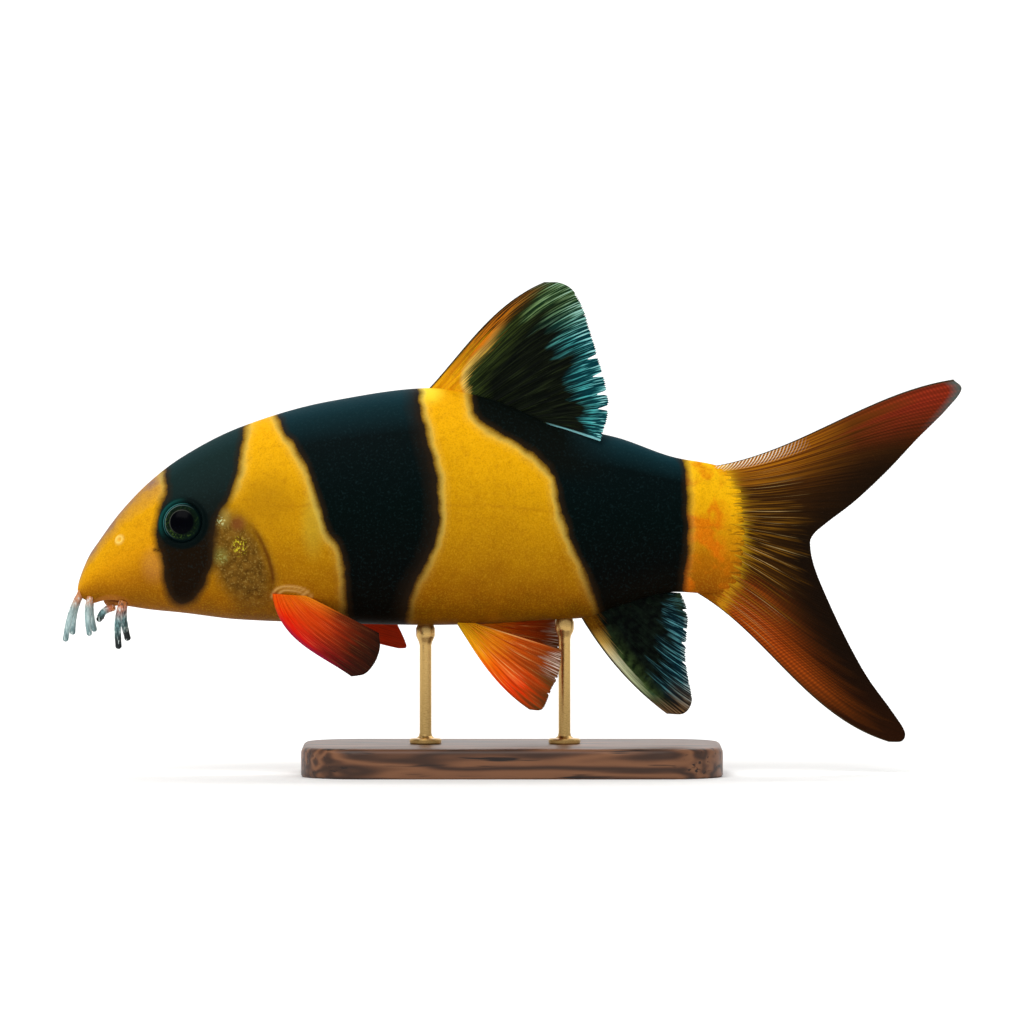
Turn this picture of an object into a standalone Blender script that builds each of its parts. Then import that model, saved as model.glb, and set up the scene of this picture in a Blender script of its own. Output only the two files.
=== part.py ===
"""Clown loach, a still life-size display model on a small stand.

The fish faces -X with its left side towards -Y, and +Z is up. The origin is the centre of the
stand's underside. Sizes are in millimetres until a mesh is made, which turns them into metres.
Along the fish, places are given as the distance behind the tip of the snout.
"""

import math

import bmesh
import bpy
import numpy as np
from mathutils import Vector

MM = 0.001
GAP = 0.3  # air left between pieces that touch
LEFT, RIGHT = -1, 1  # the sign of Y on each side of the fish

# Lengths along the fish, behind the tip of the snout.
SNOUT_X = -86.9  # where the snout's tip stands from the centre of the stand
NOSE_ROUND, SNOUT_HEIGHT = 3.0, 36.8  # the length and height at which the blunt snout closes
HEAD_END = 39.4
TRUNK_END = 99.6  # just ahead of the vent
FLESH_END = 132.6  # where the tail fin's rays take over

# The body's outline: distance behind the snout, heights of the back and the belly above the
# floor, and half the width.
BODY_STATIONS = (
    (0.0, 40.6, 34.6, 3.4),  # snout, before its end is rounded
    (2.6, 44.2, 34.5, 4.3),  # front of the mouth
    (8.6, 52.4, 33.8, 6.5),  # nostrils
    (14.6, 58.6, 32.9, 8.5),
    (20.6, 63.2, 32.3, 9.9),  # eyes
    (32.6, 69.4, 30.9, 11.7),  # gill covers
    (50.6, 74.6, 30.2, 13.1),  # deepest part of the chest
    (71.0, 77.2, 29.8, 12.9),  # front of the dorsal fin
    (80.6, 75.6, 30.0, 11.8),  # pelvic fins
    (93.6, 70.8, 30.8, 9.4),  # back of the dorsal fin
    (101.2, 68.8, 31.2, 7.9),  # vent
    (107.6, 67.4, 33.4, 6.7),
    (119.6, 63.3, 36.4, 4.5),  # thinnest part of the tail stalk
    (127.6, 61.8, 36.0, 2.9),
    (132.6, 59.8, 37.8, 1.8),
)
WIDEST_AT_HEAD, WIDEST_AT_TAIL = 0.36, 0.48  # share of the depth where a section is widest
BACK_ROUNDNESS, BELLY_ROUNDNESS = 1.85, 2.45  # 2 is an ellipse, less is keeled, more is flatter
BODY_SIDES = 28
NOSE_TIP, NOSE_RINGS = 0.02, 5  # the snout's flat tip, and the rings that round it
HEAD_RING_STEP, REST_RING_STEP = 2.9, 5.2

# Eyes, set a little forward and upward of square.
EYE_ALONG, EYE_HEIGHT = 21.3, 50.5
EYE_RADIUS, EYE_DEPTH = 5.0, 3.4
EYE_STANDS_OUT = 1.5
EYE_TURN, EYE_LIFT = math.radians(10), math.radians(10)
RIM_RADIUS, RIM_LEVEL = 0.5, 0.5  # the fold of skin round it, and how far up the eye it lies

# The mouth opens downward under the snout, as two horseshoes of lip round a slit.
MOUTH_HEIGHT = 34.0
LIP_RADIUS = 0.85
UPPER_LIP = (9.6, 6.4, 4.3)  # corners' distance behind the snout, reach forward, half width
LOWER_LIP = (10.2, 4.3, 3.4)
MOUTH_SLIT = (9.9, 5.35, 3.85)
SLIT_WIDTH, SLIT_DEPTH = 0.5, 2.0

NOSTRIL_ALONG, NOSTRIL_HEIGHT = 8.6, 47.0
NOSTRIL_RADIUS, NOSTRIL_BORE, NOSTRIL_RISE = 0.85, 0.4, 0.55

# Gill cover: its centre, its reach forward, backward, and up or down, and its thickness.
GILL_ALONG, GILL_HEIGHT = 32.0, 43.6
GILL_FRONT, GILL_BACK, GILL_TALL = 5.2, 6.2, 9.4
GILL_THICK, GILL_LIP = 1.1, 0.55

# Barbels: root and tip as (behind the snout, out from the middle, height), and root radius.
# The left and right tips differ, because the fish holds them apart.
BARBELS = {
    "barbel_rostral_front": ((0.9, 1.2, 36.6), (-2.3, 2.6, 27.0), (-1.1, 2.6, 28.2), 0.7),
    "barbel_rostral_rear": ((2.8, 2.7, 36.0), (2.5, 4.0, 28.2), (3.2, 4.2, 28.7), 0.68),
    "barbel_maxillary": ((9.2, 4.2, 34.6), (8.4, 5.8, 25.7), (9.8, 6.0, 26.9), 0.8),
    "barbel_mandibular": ((7.2, 2.3, 33.4), (4.4, 2.6, 31.0), (4.6, 2.6, 31.2), 0.75),
}
BARBEL_TIP = 0.8  # radius of its tip, as a share of the root's
BARBEL_BOW = (-0.5, 0.4, 0.3)  # how far its middle bends forward, out and up

# Fins: a web with rays raised in both its faces. A soft ray divides part of the way out.
MEMBRANE = 0.5  # thickness of the web between rays
RAY_AT_ROOT, RAY_AT_EDGE = 0.55, 0.12  # how much a ray adds to it, over both faces
FORK = 0.42  # where along its length a soft ray divides
SINGLE_RAY = (0.0, 0.7, 1.0, 0.7)  # height across one ray before it divides
FORKED_RAY = (0.0, 1.0, 0.35, 1.0)  # and after
SINK = 1.8  # how far a fin's root is set into the flesh before it is trimmed to meet it
FORK_LINE = ((131.0, 47.1), (146.6, 45.6))  # between the tail fin's lobes, root to notch
TAIL_SWAY = 1.6  # how far the tail fin's tips swing to the right

# The stand: a board under two rods, one between the paired fins and one ahead of the vent.
STAND_LONG, STAND_WIDE, STAND_THICK, STAND_CORNER, STAND_EDGE = 84.0, 46.0, 6.0, 12.0, 1.2
RODS_ALONG = (69.6, 97.4)
ROD_RADIUS, ROD_FOOT_RADIUS, ROD_FOOT_THICK = 1.2, 3.2, 1.0
ROD_HEAD_RADIUS, ROD_HEAD_LONG = 1.9, 2.4

# Colours, in linear light.
GOLD = (0.62, 0.33, 0.01)
DARK = (0.01, 0.02, 0.022)
SCARLET = (0.60, 0.08, 0.01)
AMBER = (0.30, 0.10, 0.01)
TEAL = (0.01, 0.08, 0.09)
PALE = (0.45, 0.50, 0.45)
BRASS = (0.72, 0.53, 0.25)
WALNUT = (0.09, 0.045, 0.022)


class SmoothLine:
    """A cubic through a few stations that doesn't swing past them."""

    def __init__(self, places, values):
        self.places = np.array(places, float)
        self.values = np.array(values, float)
        steps = np.diff(self.places)
        rises = np.diff(self.values) / steps
        slopes = np.zeros(len(places))
        slopes[0], slopes[-1] = rises[0], rises[-1]
        for i in range(1, len(places) - 1):
            if rises[i - 1] * rises[i] > 0:
                before, after = 2 * steps[i] + steps[i - 1], steps[i] + 2 * steps[i - 1]
                slopes[i] = (before + after) / (before / rises[i - 1] + after / rises[i])
        self.slopes = slopes

    def __call__(self, place):
        last = len(self.places) - 2
        i = int(np.clip(np.searchsorted(self.places, place) - 1, 0, last))
        step = self.places[i + 1] - self.places[i]
        t = float(np.clip((place - self.places[i]) / step, 0, 1))
        start, end = self.values[i], self.values[i + 1]
        ease = t * t * (3 - 2 * t)
        return float(
            start + (end - start) * ease
            + step * (t * (1 - t) ** 2 * self.slopes[i] - t * t * (1 - t) * self.slopes[i + 1])
        )


STATION_PLACES = [row[0] for row in BODY_STATIONS]
BACK = SmoothLine(STATION_PLACES, [row[1] for row in BODY_STATIONS])
BELLY = SmoothLine(STATION_PLACES, [row[2] for row in BODY_STATIONS])
HALF_WIDTH = SmoothLine(STATION_PLACES, [row[3] for row in BODY_STATIONS])


def section(along):
    """Half width, widest height, and reach above and below it, of the body at this place."""
    share = min(max(along / FLESH_END, 0.0), 1.0)
    widest = WIDEST_AT_HEAD + (WIDEST_AT_TAIL - WIDEST_AT_HEAD) * share
    back, belly = BACK(along), BELLY(along)
    closing = 1.0
    if along < NOSE_ROUND:
        closing = math.sqrt(max(0.0, 1 - (1 - along / NOSE_ROUND) ** 2))
        back = SNOUT_HEIGHT + (back - SNOUT_HEIGHT) * closing
        belly = SNOUT_HEIGHT + (belly - SNOUT_HEIGHT) * closing
    level = belly + widest * (back - belly)
    return HALF_WIDTH(along) * closing, level, back - level, level - belly


def side_y(along, height):
    """How far the body's side stands from its middle plane at this place."""
    half, level, up, down = section(along)
    reach, power = (up, BACK_ROUNDNESS) if height > level else (down, BELLY_ROUNDNESS)
    share = min(abs(height - level) / reach, 1.0)
    return half * (1 - share**power) ** (1 / power)


def skin_point(along, angle):
    """The body's surface, where the angle runs from the left side over the back."""
    half, level, up, down = section(along)
    c, s = math.cos(angle), math.sin(angle)
    reach, power = (up, BACK_ROUNDNESS) if s > 0 else (down, BELLY_ROUNDNESS)
    y = -half * math.copysign(abs(c) ** (2 / power), c)
    z = level + reach * math.copysign(abs(s) ** (2 / power), s)
    return along, y, z


def to_world(along, y, height):
    return Vector((SNOUT_X + along, y, height)) * MM


def mesh_object(name, points, faces):
    """A closed mesh from points given as (behind the snout, Y, height), facing outward."""
    mesh = bpy.data.meshes.new(name)
    mesh.from_pydata([to_world(*p) for p in points], [], faces)
    shape = bmesh.new()
    shape.from_mesh(mesh)
    bmesh.ops.recalc_face_normals(shape, faces=shape.faces)
    shape.to_mesh(mesh)
    shape.free()
    obj = bpy.data.objects.new(name, mesh)
    bpy.context.scene.collection.objects.link(obj)
    return obj


def tube_between(rings, closed_tips=(True, True)):
    """Points and faces of a skin over rings of equal count, capped at both ends."""
    sides = len(rings[0])
    points = [p for ring in rings for p in ring]
    faces = []
    for i in range(len(rings) - 1):
        for j in range(sides):
            a, b = i * sides + j, i * sides + (j + 1) % sides
            faces.append((a, b, b + sides, a + sides))
    for ring, wanted in ((0, closed_tips[0]), (len(rings) - 1, closed_tips[1])):
        if not wanted:
            continue
        middle = len(points)
        points.append(tuple(np.mean(rings[ring], axis=0)))
        start = ring * sides
        faces += [(start + j, start + (j + 1) % sides, middle) for j in range(sides)]
    return points, faces


def ring_places(start, end):
    """Where the body's rings stand between two cuts: close on the snout, wider behind."""
    nose = [NOSE_ROUND * (1 - math.cos(math.pi / 2 * k / NOSE_RINGS)) for k in range(NOSE_RINGS)]
    head = np.arange(NOSE_ROUND, HEAD_END, HEAD_RING_STEP)
    rest = np.arange(HEAD_END, FLESH_END, REST_RING_STEP)
    between = [p for p in (*nose[1:], *head, *rest) if start < p - 0.05 and p + 0.5 < end]
    return [max(start, NOSE_TIP)] + between + [end]


def body_length(name, start, end, grow=0.0):
    """One length of the body, with its surface moved outward by grow."""
    angles = [2 * math.pi * k / BODY_SIDES for k in range(BODY_SIDES)]
    rings = [[skin_point(place, a) for a in angles] for place in ring_places(start, end)]
    obj = mesh_object(name, *tube_between(rings))
    if grow:
        move_outward(obj, grow)
    return obj


def move_outward(obj, distance):
    shape = bmesh.new()
    shape.from_mesh(obj.data)
    shape.normal_update()
    for vertex in shape.verts:
        vertex.co += vertex.normal * distance * MM
    shape.to_mesh(obj.data)
    shape.free()


def boolean(target, others, operation, keep=False, solver="EXACT"):
    """Joins or cuts target with other closed meshes, then keeps its largest closed surface."""
    group = bpy.data.collections.new("tools_of_" + target.name)
    for other in others:
        group.objects.link(other)
    modifier = target.modifiers.new(operation.title(), "BOOLEAN")
    modifier.operation = operation
    modifier.solver = solver
    modifier.operand_type = "COLLECTION"
    modifier.collection = group
    bpy.context.view_layer.update()
    graph = bpy.context.evaluated_depsgraph_get()
    made = bpy.data.meshes.new_from_object(target.evaluated_get(graph))
    target.modifiers.clear()
    target.data = made
    bpy.data.collections.remove(group)
    if not keep:
        for other in others:
            bpy.data.objects.remove(other)
    keep_largest(target)
    return target


def keep_largest(obj):
    """Drops loose scraps and sealed hollows, leaving the closed surface that holds most."""
    shape = bmesh.new()
    shape.from_mesh(obj.data)
    bmesh.ops.triangulate(shape, faces=shape.faces)
    waiting = set(shape.faces)
    islands = []
    while waiting:
        front = [waiting.pop()]
        island = set(front)
        while front:
            face = front.pop()
            for edge in face.edges:
                for near in edge.link_faces:
                    if near in waiting:
                        waiting.remove(near)
                        island.add(near)
                        front.append(near)
        held = sum(
            f.verts[0].co.dot(f.verts[1].co.cross(f.verts[2].co)) for f in island
        )
        islands.append((abs(held), island))
    islands.sort(key=lambda pair: pair[0])
    for _, island in islands[:-1]:
        bmesh.ops.delete(shape, geom=list(island), context="FACES")
    shape.to_mesh(obj.data)
    shape.free()


def finish(obj, name, colour, roughness, metallic=0.0, sharp=40):
    """Names the node and gives it its own material and shading."""
    obj.name = name
    obj.data.name = name
    coat = bpy.data.materials.new(name)
    coat.use_nodes = True
    shader = coat.node_tree.nodes["Principled BSDF"]
    shader.inputs["Base Color"].default_value = (*colour, 1)
    shader.inputs["Roughness"].default_value = roughness
    shader.inputs["Metallic"].default_value = metallic
    coat.diffuse_color = (*colour, 1)
    obj.data.materials.clear()
    obj.data.materials.append(coat)
    obj.data.shade_smooth()
    obj.data.set_sharp_from_angle(angle=math.radians(sharp))
    return obj


def swept_tube(name, path, radii, sides):
    """A tapering tube along points in fish coordinates, closed at both ends."""
    path = [Vector(p) for p in path]
    rings = []
    for i, (centre, radius) in enumerate(zip(path, radii)):
        ahead = (path[min(i + 1, len(path) - 1)] - path[max(i - 1, 0)]).normalized()
        turn = ahead.to_track_quat("Z", "X").to_matrix()
        rings.append([
            tuple(centre + turn @ Vector((math.cos(a) * radius, math.sin(a) * radius, 0)))
            for a in (2 * math.pi * k / sides for k in range(sides))
        ])
    return mesh_object(name, *tube_between(rings))


def horseshoe(corner, reach, half_width, steps):
    """Points (along, Y) of an arc that runs forward round the mouth from corner to corner."""
    turns = [math.pi * (k / steps - 0.5) for k in range(steps + 1)]
    return [(corner - reach * math.cos(t), half_width * math.sin(t)) for t in turns]


def lip(name, arc, drop, grow):
    """A fleshy lip, thickest in the middle, running round the mouth under the snout."""
    steps = 10
    path = []
    radii = []
    for k, (along, y) in enumerate(horseshoe(*arc, steps)):
        full = math.sin(math.pi * k / steps)
        path.append((along, y, MOUTH_HEIGHT - drop * full))
        radii.append(LIP_RADIUS * (0.62 + 0.38 * full) + grow)
    return swept_tube(name, path, radii, 8)


def lips(grow=0.0):
    return [lip("upper_lip", UPPER_LIP, 0.1, grow), lip("lower_lip", LOWER_LIP, 0.7, grow)]


def mouth_slit():
    """The line of the mouth, as a thin curved sheet that is cut up into the head."""
    steps = 12
    low, high = MOUTH_HEIGHT - 3, MOUTH_HEIGHT + SLIT_DEPTH - 1
    corner, reach, half = MOUTH_SLIT
    outer = horseshoe(corner, reach + SLIT_WIDTH / 2, half + SLIT_WIDTH / 2, steps)
    inner = horseshoe(corner, reach - SLIT_WIDTH / 2, half - SLIT_WIDTH / 2, steps)
    rings = []
    for (oa, oy), (ia, iy) in zip(outer, inner):
        rings.append([(oa, oy, low), (oa, oy, high), (ia, iy, high), (ia, iy, low)])
    return mesh_object("mouth_slit", *tube_between(rings))


def ellipsoid(name, centre, radii, turn, rings=9, sides=16):
    """An ellipsoid whose third radius runs along its own Z, turned by a matrix."""
    hoops = []
    for i in range(1, rings):
        tilt = math.pi * i / rings
        hoops.append([
            tuple(Vector(centre) + turn @ Vector((
                radii[0] * math.sin(tilt) * math.cos(a),
                radii[1] * math.sin(tilt) * math.sin(a),
                radii[2] * math.cos(tilt),
            )))
            for a in (2 * math.pi * k / sides for k in range(sides))
        ])
    points, faces = tube_between(hoops, closed_tips=(False, False))
    for pole, ring in ((radii[2], 0), (-radii[2], len(hoops) - 1)):
        tip = len(points)
        points.append(tuple(Vector(centre) + turn @ Vector((0, 0, pole))))
        start = ring * sides
        faces += [(start + j, start + (j + 1) % sides, tip) for j in range(sides)]
    return mesh_object(name, points, faces)


def eye_frame(side):
    """The eye's centre, and the turn that points its short axis out of the head."""
    out = Vector((
        -math.sin(EYE_TURN) * math.cos(EYE_LIFT),
        side * math.cos(EYE_TURN) * math.cos(EYE_LIFT),
        math.sin(EYE_LIFT),
    ))
    surface = Vector((EYE_ALONG, side * side_y(EYE_ALONG, EYE_HEIGHT), EYE_HEIGHT))
    centre = surface + out * (EYE_STANDS_OUT - EYE_DEPTH)
    return centre, out.to_track_quat("Z", "X").to_matrix()


def eyeball(name, side, grow=0.0):
    centre, turn = eye_frame(side)
    radii = (EYE_RADIUS + grow, EYE_RADIUS + grow, EYE_DEPTH + grow)
    return ellipsoid(name, centre, radii, turn, rings=8, sides=18)


def eye_rim(side):
    """The fold of skin that runs round the eye."""
    centre, turn = eye_frame(side)
    steps, sides = 20, 6
    level = EYE_DEPTH * RIM_LEVEL
    reach = EYE_RADIUS * math.sqrt(1 - RIM_LEVEL**2) + GAP + RIM_RADIUS * 0.6
    points = []
    for k in range(steps):
        around = 2 * math.pi * k / steps
        for j in range(sides):
            tilt = 2 * math.pi * j / sides
            out = reach + RIM_RADIUS * math.cos(tilt)
            place = Vector((out * math.cos(around), out * math.sin(around), 0))
            place.z = level + RIM_RADIUS * math.sin(tilt)
            points.append(tuple(centre + turn @ place))
    faces = []
    for k in range(steps):
        for j in range(sides):
            a, b = k * sides + j, k * sides + (j + 1) % sides
            c, d = (k + 1) % steps * sides + (j + 1) % sides, (k + 1) % steps * sides + j
            faces.append((a, b, c, d))
    return mesh_object("eye_rim", points, faces)


def nostril_frame(side):
    surface = Vector((NOSTRIL_ALONG, side * side_y(NOSTRIL_ALONG, NOSTRIL_HEIGHT), NOSTRIL_HEIGHT))
    out = Vector((-0.35, side * 0.75, 0.55)).normalized()
    return surface, out


def nostril_tube(name, side, radius, inside, outside):
    surface, out = nostril_frame(side)
    path = [surface - out * inside, surface + out * outside]
    return swept_tube(name, path, (radius, radius * 0.85), 8)


def gill_outline(turn, grow):
    """The gill cover's edge in side view, at an angle round its centre from the back edge."""
    c, s = math.cos(turn), math.sin(turn)
    reach = GILL_BACK if c > 0 else GILL_FRONT
    power = 2 / 2.2
    along = (reach + grow) * math.copysign(abs(c) ** power, c)
    return along, (GILL_TALL + grow) * math.copysign(abs(s) ** power, s)


def gill_plate(name, side, grow, inner, outer):
    """A plate that follows the cheek, from inner below the skin to outer(share) above it."""
    turns, hoops = 20, 3
    points, faces = [], []
    for face_height in (outer, lambda share: -inner):
        first = len(points)
        points.append((
            GILL_ALONG,
            side * (side_y(GILL_ALONG, GILL_HEIGHT) + face_height(0.5)),
            GILL_HEIGHT,
        ))
        for h in range(1, hoops + 1):
            for k in range(turns):
                along, up = gill_outline(2 * math.pi * k / turns, grow)
                along, up = along * h / hoops, up * h / hoops
                share = (along + GILL_FRONT) / (GILL_FRONT + GILL_BACK)
                place, height = GILL_ALONG + along, GILL_HEIGHT + up
                y = side_y(place, height) + face_height(min(max(share, 0), 1))
                points.append((place, side * y, height))
        for k in range(turns):
            faces.append((first, first + 1 + k, first + 1 + (k + 1) % turns))
            for h in range(hoops - 1):
                a = first + 1 + h * turns + k
                b = first + 1 + h * turns + (k + 1) % turns
                faces.append((a, b, b + turns, a + turns))
    face_points = 1 + hoops * turns
    for k in range(turns):
        a = 1 + (hoops - 1) * turns + k
        b = 1 + (hoops - 1) * turns + (k + 1) % turns
        faces.append((a, b, b + face_points, a + face_points))
    return mesh_object(name, points, faces)


def gill_cover(side, name):
    """The bony gill cover: flush in front, with a free edge that stands proud behind."""
    plate = gill_plate(name, side, 0, GILL_THICK, lambda share: 0.1 + GILL_LIP * share**2)
    return finish(plate, name, GOLD, 0.35)


def head():
    """Skull, snout, cheeks and lips in one piece, with its sockets, pockets and slit cut."""
    obj = body_length("head", 0, HEAD_END)
    nostrils = [
        nostril_tube("nostril_rim", side, NOSTRIL_RADIUS, 1.0, NOSTRIL_RISE)
        for side in (LEFT, RIGHT)
    ]
    boolean(obj, lips() + nostrils + [eye_rim(LEFT), eye_rim(RIGHT)], "UNION")
    cutters = [mouth_slit()]
    for side in (LEFT, RIGHT):
        cutters.append(eyeball("eye_socket", side, GAP))
        cutters.append(nostril_tube("nostril_bore", side, NOSTRIL_BORE, 0.9, 2.0))
        cutters.append(gill_plate("gill_pocket", side, GAP, GILL_THICK + GAP, lambda share: 4.0))
    boolean(obj, cutters, "DIFFERENCE")
    return finish(obj, "head", GOLD, 0.35)


def head_clearance():
    """The head and the whole body, grown by the gap, which trims whatever is rooted on them."""
    form = body_length("clearance", 0, FLESH_END, GAP)
    return boolean(form, lips(GAP), "UNION")


def barbel(kind, side, clearance):
    """A soft feeler that tapers from the lip, bowed forward and rounded at its tip."""
    root, left_tip, right_tip, radius = BARBELS[kind]
    tip = left_tip if side == LEFT else right_tip
    root, tip = Vector(root), Vector(tip)
    steps = 5
    path = []
    radii = []
    for k in range(steps + 1):
        t = k / steps
        p = root.lerp(tip, t) + Vector(BARBEL_BOW) * math.sin(math.pi * t)
        path.append((p.x, side * p.y, p.z))
        radii.append(radius * (1 + (BARBEL_TIP - 1) * t))
    end = Vector(path[-1]) - Vector(path[-2])
    path.append(tuple(Vector(path[-1]) + end.normalized() * radius * BARBEL_TIP))
    radii.append(radius * BARBEL_TIP * 0.45)
    obj = swept_tube(kind, path, radii, 7)
    boolean(obj, [clearance], "DIFFERENCE", keep=True)
    return finish(obj, kind + ("_left" if side == LEFT else "_right"), PALE, 0.4)


def along_line(points, count):
    """Evenly spaced points on a smooth line through a few given ones."""
    points = np.array(points, float)
    if len(points) == 2:
        fine = np.linspace(points[0], points[1], 60)
    else:
        padded = np.vstack([2 * points[0] - points[1], points, 2 * points[-1] - points[-2]])
        fine = []
        for i in range(1, len(padded) - 2):
            a, b, c, d = padded[i - 1 : i + 3]
            for t in np.linspace(0, 1, 24, endpoint=i == len(padded) - 3):
                fine.append(0.5 * (
                    2 * b + (c - a) * t + (2 * a - 5 * b + 4 * c - d) * t**2
                    + (3 * b - a - 3 * c + d) * t**3
                ))
        fine = np.array(fine)
    lengths = np.concatenate([[0], np.cumsum(np.linalg.norm(np.diff(fine, axis=0), axis=1))])
    wanted = np.linspace(0, lengths[-1], count)
    return np.column_stack([np.interp(wanted, lengths, fine[:, k]) for k in range(fine.shape[1])])


def ray_height(across, out, branched):
    """Height of the ridge at one of a ray's four columns, out along the ray."""
    spread = min(max((out - FORK) / 0.2, 0.0), 1.0) if branched else 0.0
    single, forked = SINGLE_RAY[across], FORKED_RAY[across]
    return (single + (forked - single) * spread) * (
        RAY_AT_ROOT + (RAY_AT_EDGE - RAY_AT_ROOT) * out
    )


def fin(name, base, margin, bows, rays, sideways, rows=5, plain_rays=1, notch=0.5, root_web=0.0):
    """A rayed fin as one closed sheet, whose rays are ridges in both of its faces.

    base and margin are points (along, height) from the leading to the trailing ray, bows is how
    far the leading ray bends out of straight near its root and near its tip, and sideways gives
    a point's Y from its place and its share of the way out.
    """
    columns = 4 * rays + 1
    roots = along_line(base, columns)
    tips = along_line(margin, columns)
    sheet = np.zeros((columns, rows + 1, 3))
    thick = np.zeros((columns, rows + 1))
    for i in range(columns):
        chord = tips[i] - roots[i]
        normal = np.array((-chord[1], chord[0])) / np.linalg.norm(chord)
        fade = (1 - i / (columns - 1)) ** 1.5
        first = roots[i] + chord / 3 + normal * bows[0] * fade
        second = roots[i] + chord * 2 / 3 + normal * bows[1] * fade
        across = i % 4
        branched = i // 4 >= plain_rays
        short = notch * (1 - FORKED_RAY[across]) if branched else 0.0
        for j in range(rows + 1):
            t = j / rows
            along, height = (
                (1 - t) ** 3 * roots[i] + 3 * (1 - t) ** 2 * t * first
                + 3 * (1 - t) * t * t * second + t**3 * tips[i]
            )
            if j == rows:
                along, height = np.array((along, height)) - chord / np.linalg.norm(chord) * short
            sheet[i, j] = along, sideways(along, height, t), height
            edge = 1.0 if 0 < i < columns - 1 else 0.8
            web = (MEMBRANE + root_web * (1 - t) ** 2) * edge
            thick[i, j] = web * (1 - 0.3 * t**6) + ray_height(across, t, branched)
    return sheet_solid(name, sheet, thick)


def sheet_solid(name, sheet, thick):
    """A closed solid round a curved sheet, with both faces split into triangles alike."""
    across = np.gradient(sheet, axis=0)
    outward = np.gradient(sheet, axis=1)
    normal = np.cross(across, outward)
    normal /= np.linalg.norm(normal, axis=2, keepdims=True)
    half = normal * thick[:, :, None] / 2
    columns, rows = thick.shape
    points = np.concatenate([(sheet + half).reshape(-1, 3), (sheet - half).reshape(-1, 3)])
    other = columns * rows

    def at(i, j):
        return i * rows + j

    faces = []
    for i in range(columns - 1):
        for j in range(rows - 1):
            a, b, c, d = at(i, j), at(i + 1, j), at(i + 1, j + 1), at(i, j + 1)
            faces += [(a, b, c), (a, c, d)]
            faces += [(a + other, c + other, b + other), (a + other, d + other, c + other)]
    border = [at(i, 0) for i in range(columns)]
    border += [at(columns - 1, j) for j in range(1, rows)]
    border += [at(i, rows - 1) for i in range(columns - 2, -1, -1)]
    border += [at(0, j) for j in range(rows - 2, 0, -1)]
    for a, b in zip(border, border[1:] + border[:1]):
        faces += [(a, a + other, b + other), (a, b + other, b)]
    return mesh_object(name, [tuple(p) for p in points], faces)


def rooted(obj, clearance, name, colour):
    """Trims a fin's root so that it meets the skin face to face."""
    boolean(obj, [clearance], "DIFFERENCE", keep=True, solver="MANIFOLD")
    return finish(obj, name, colour, 0.4)


def in_middle(along, height, out):
    return 0.0


def dorsal_fin(clearance):
    front, back = 68.6, 94.4
    base = [(a, BACK(a) - SINK) for a in np.linspace(front, back, 5)]
    margin = [
        (93.4, 98.4), (96.6, 98.2), (99.2, 96.6), (101.2, 93.0),
        (102.8, 88.0), (104.4, 82.6), (105.8, 77.4), (106.2, 72.6), (105.6, 67.6),
    ]
    obj = fin("dorsal", base, margin, (0.4, 4.2), 11, in_middle, plain_rays=2, root_web=0.5)
    return rooted(obj, clearance, "dorsal_fin", DARK)


def anal_fin(clearance):
    front, back = 100.4, 119.4
    base = [(a, BELLY(a) + SINK) for a in np.linspace(front, back, 5)]
    margin = [
        (117.9, 12.0), (121.3, 12.1), (122.9, 14.7), (122.2, 19.6),
        (121.7, 24.0), (122.3, 29.6), (121.8, 34.6),
    ]
    obj = fin("anal", base, margin, (-2.4, -2.5), 8, in_middle, plain_rays=2, root_web=0.5)
    return rooted(obj, clearance, "anal_fin", DARK)


def tail_lobes(clearance):
    """The forked tail fin, parted along the line between its lobes."""
    (root_along, root_height), (notch_along, notch_height) = FORK_LINE

    def sway(along, height, out):
        return TAIL_SWAY * out * out

    upper_base = [
        (120.6, 61.1), (127.4, 58.8), (root_along, 53.2), (root_along, root_height + GAP / 2),
    ]
    upper_margin = [
        (175.2, 78.9), (176.8, 76.8), (173.5, 72.5), (168.0, 67.0), (162.0, 60.6),
        (155.6, 54.6), (150.0, 50.3), (147.2, 47.8), (notch_along, notch_height + GAP / 2),
    ]
    upper = fin("upper", upper_base, upper_margin, (-6.3, 3.2), 9, sway, rows=8, root_web=0.6)
    lower_base = [
        (120.6, 37.9), (127.4, 39.4), (root_along, 43.0), (root_along, root_height - GAP / 2),
    ]
    lower_margin = [
        (162.4, 6.3), (165.0, 6.5), (165.5, 8.5), (162.9, 12.6), (158.0, 19.4),
        (153.8, 27.0), (150.1, 34.8), (147.5, 41.2), (notch_along, notch_height - GAP / 2),
    ]
    lower = fin("lower", lower_base, lower_margin, (4.0, -6.4), 9, sway, rows=8, root_web=0.6)
    return (
        rooted(upper, clearance, "tail_fin_upper", AMBER),
        rooted(lower, clearance, "tail_fin_lower", AMBER),
    )


def flared(side, root_along, root_height, inset, flare, curl):
    """A fin's Y: out from the flesh at its root, spreading and curling with distance."""
    def sideways(along, height, out):
        away = math.hypot(along - root_along, height - root_height)
        return side * (side_y(root_along, root_height) - inset + flare * away + curl * out * out)
    return sideways


def pectoral_fin(side, clearance):
    """The paddle behind the gills. The left is held down and out, the right is swept back."""
    base = [(39.2, 36.4), (46.0, 36.0)]
    if side == LEFT:
        margin = [(55.0, 20.2), (57.8, 20.8), (59.8, 23.2), (60.7, 26.0), (60.5, 28.8)]
        bows, flare = (-5.8, -1.5), 0.42
    else:
        margin = [(64.0, 24.5), (65.6, 24.7), (65.2, 26.4), (64.2, 28.6), (63.2, 30.6)]
        bows, flare = (-3.4, -2.0), 0.30
    sideways = flared(side, 43.0, 35.8, 1.6, flare, 1.0)
    name = "pectoral_fin_left" if side == LEFT else "pectoral_fin_right"
    obj = fin(name, base, margin, bows, 10, sideways, rows=5, root_web=1.5, notch=0.3)
    return rooted(obj, clearance, name, SCARLET)


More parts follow.
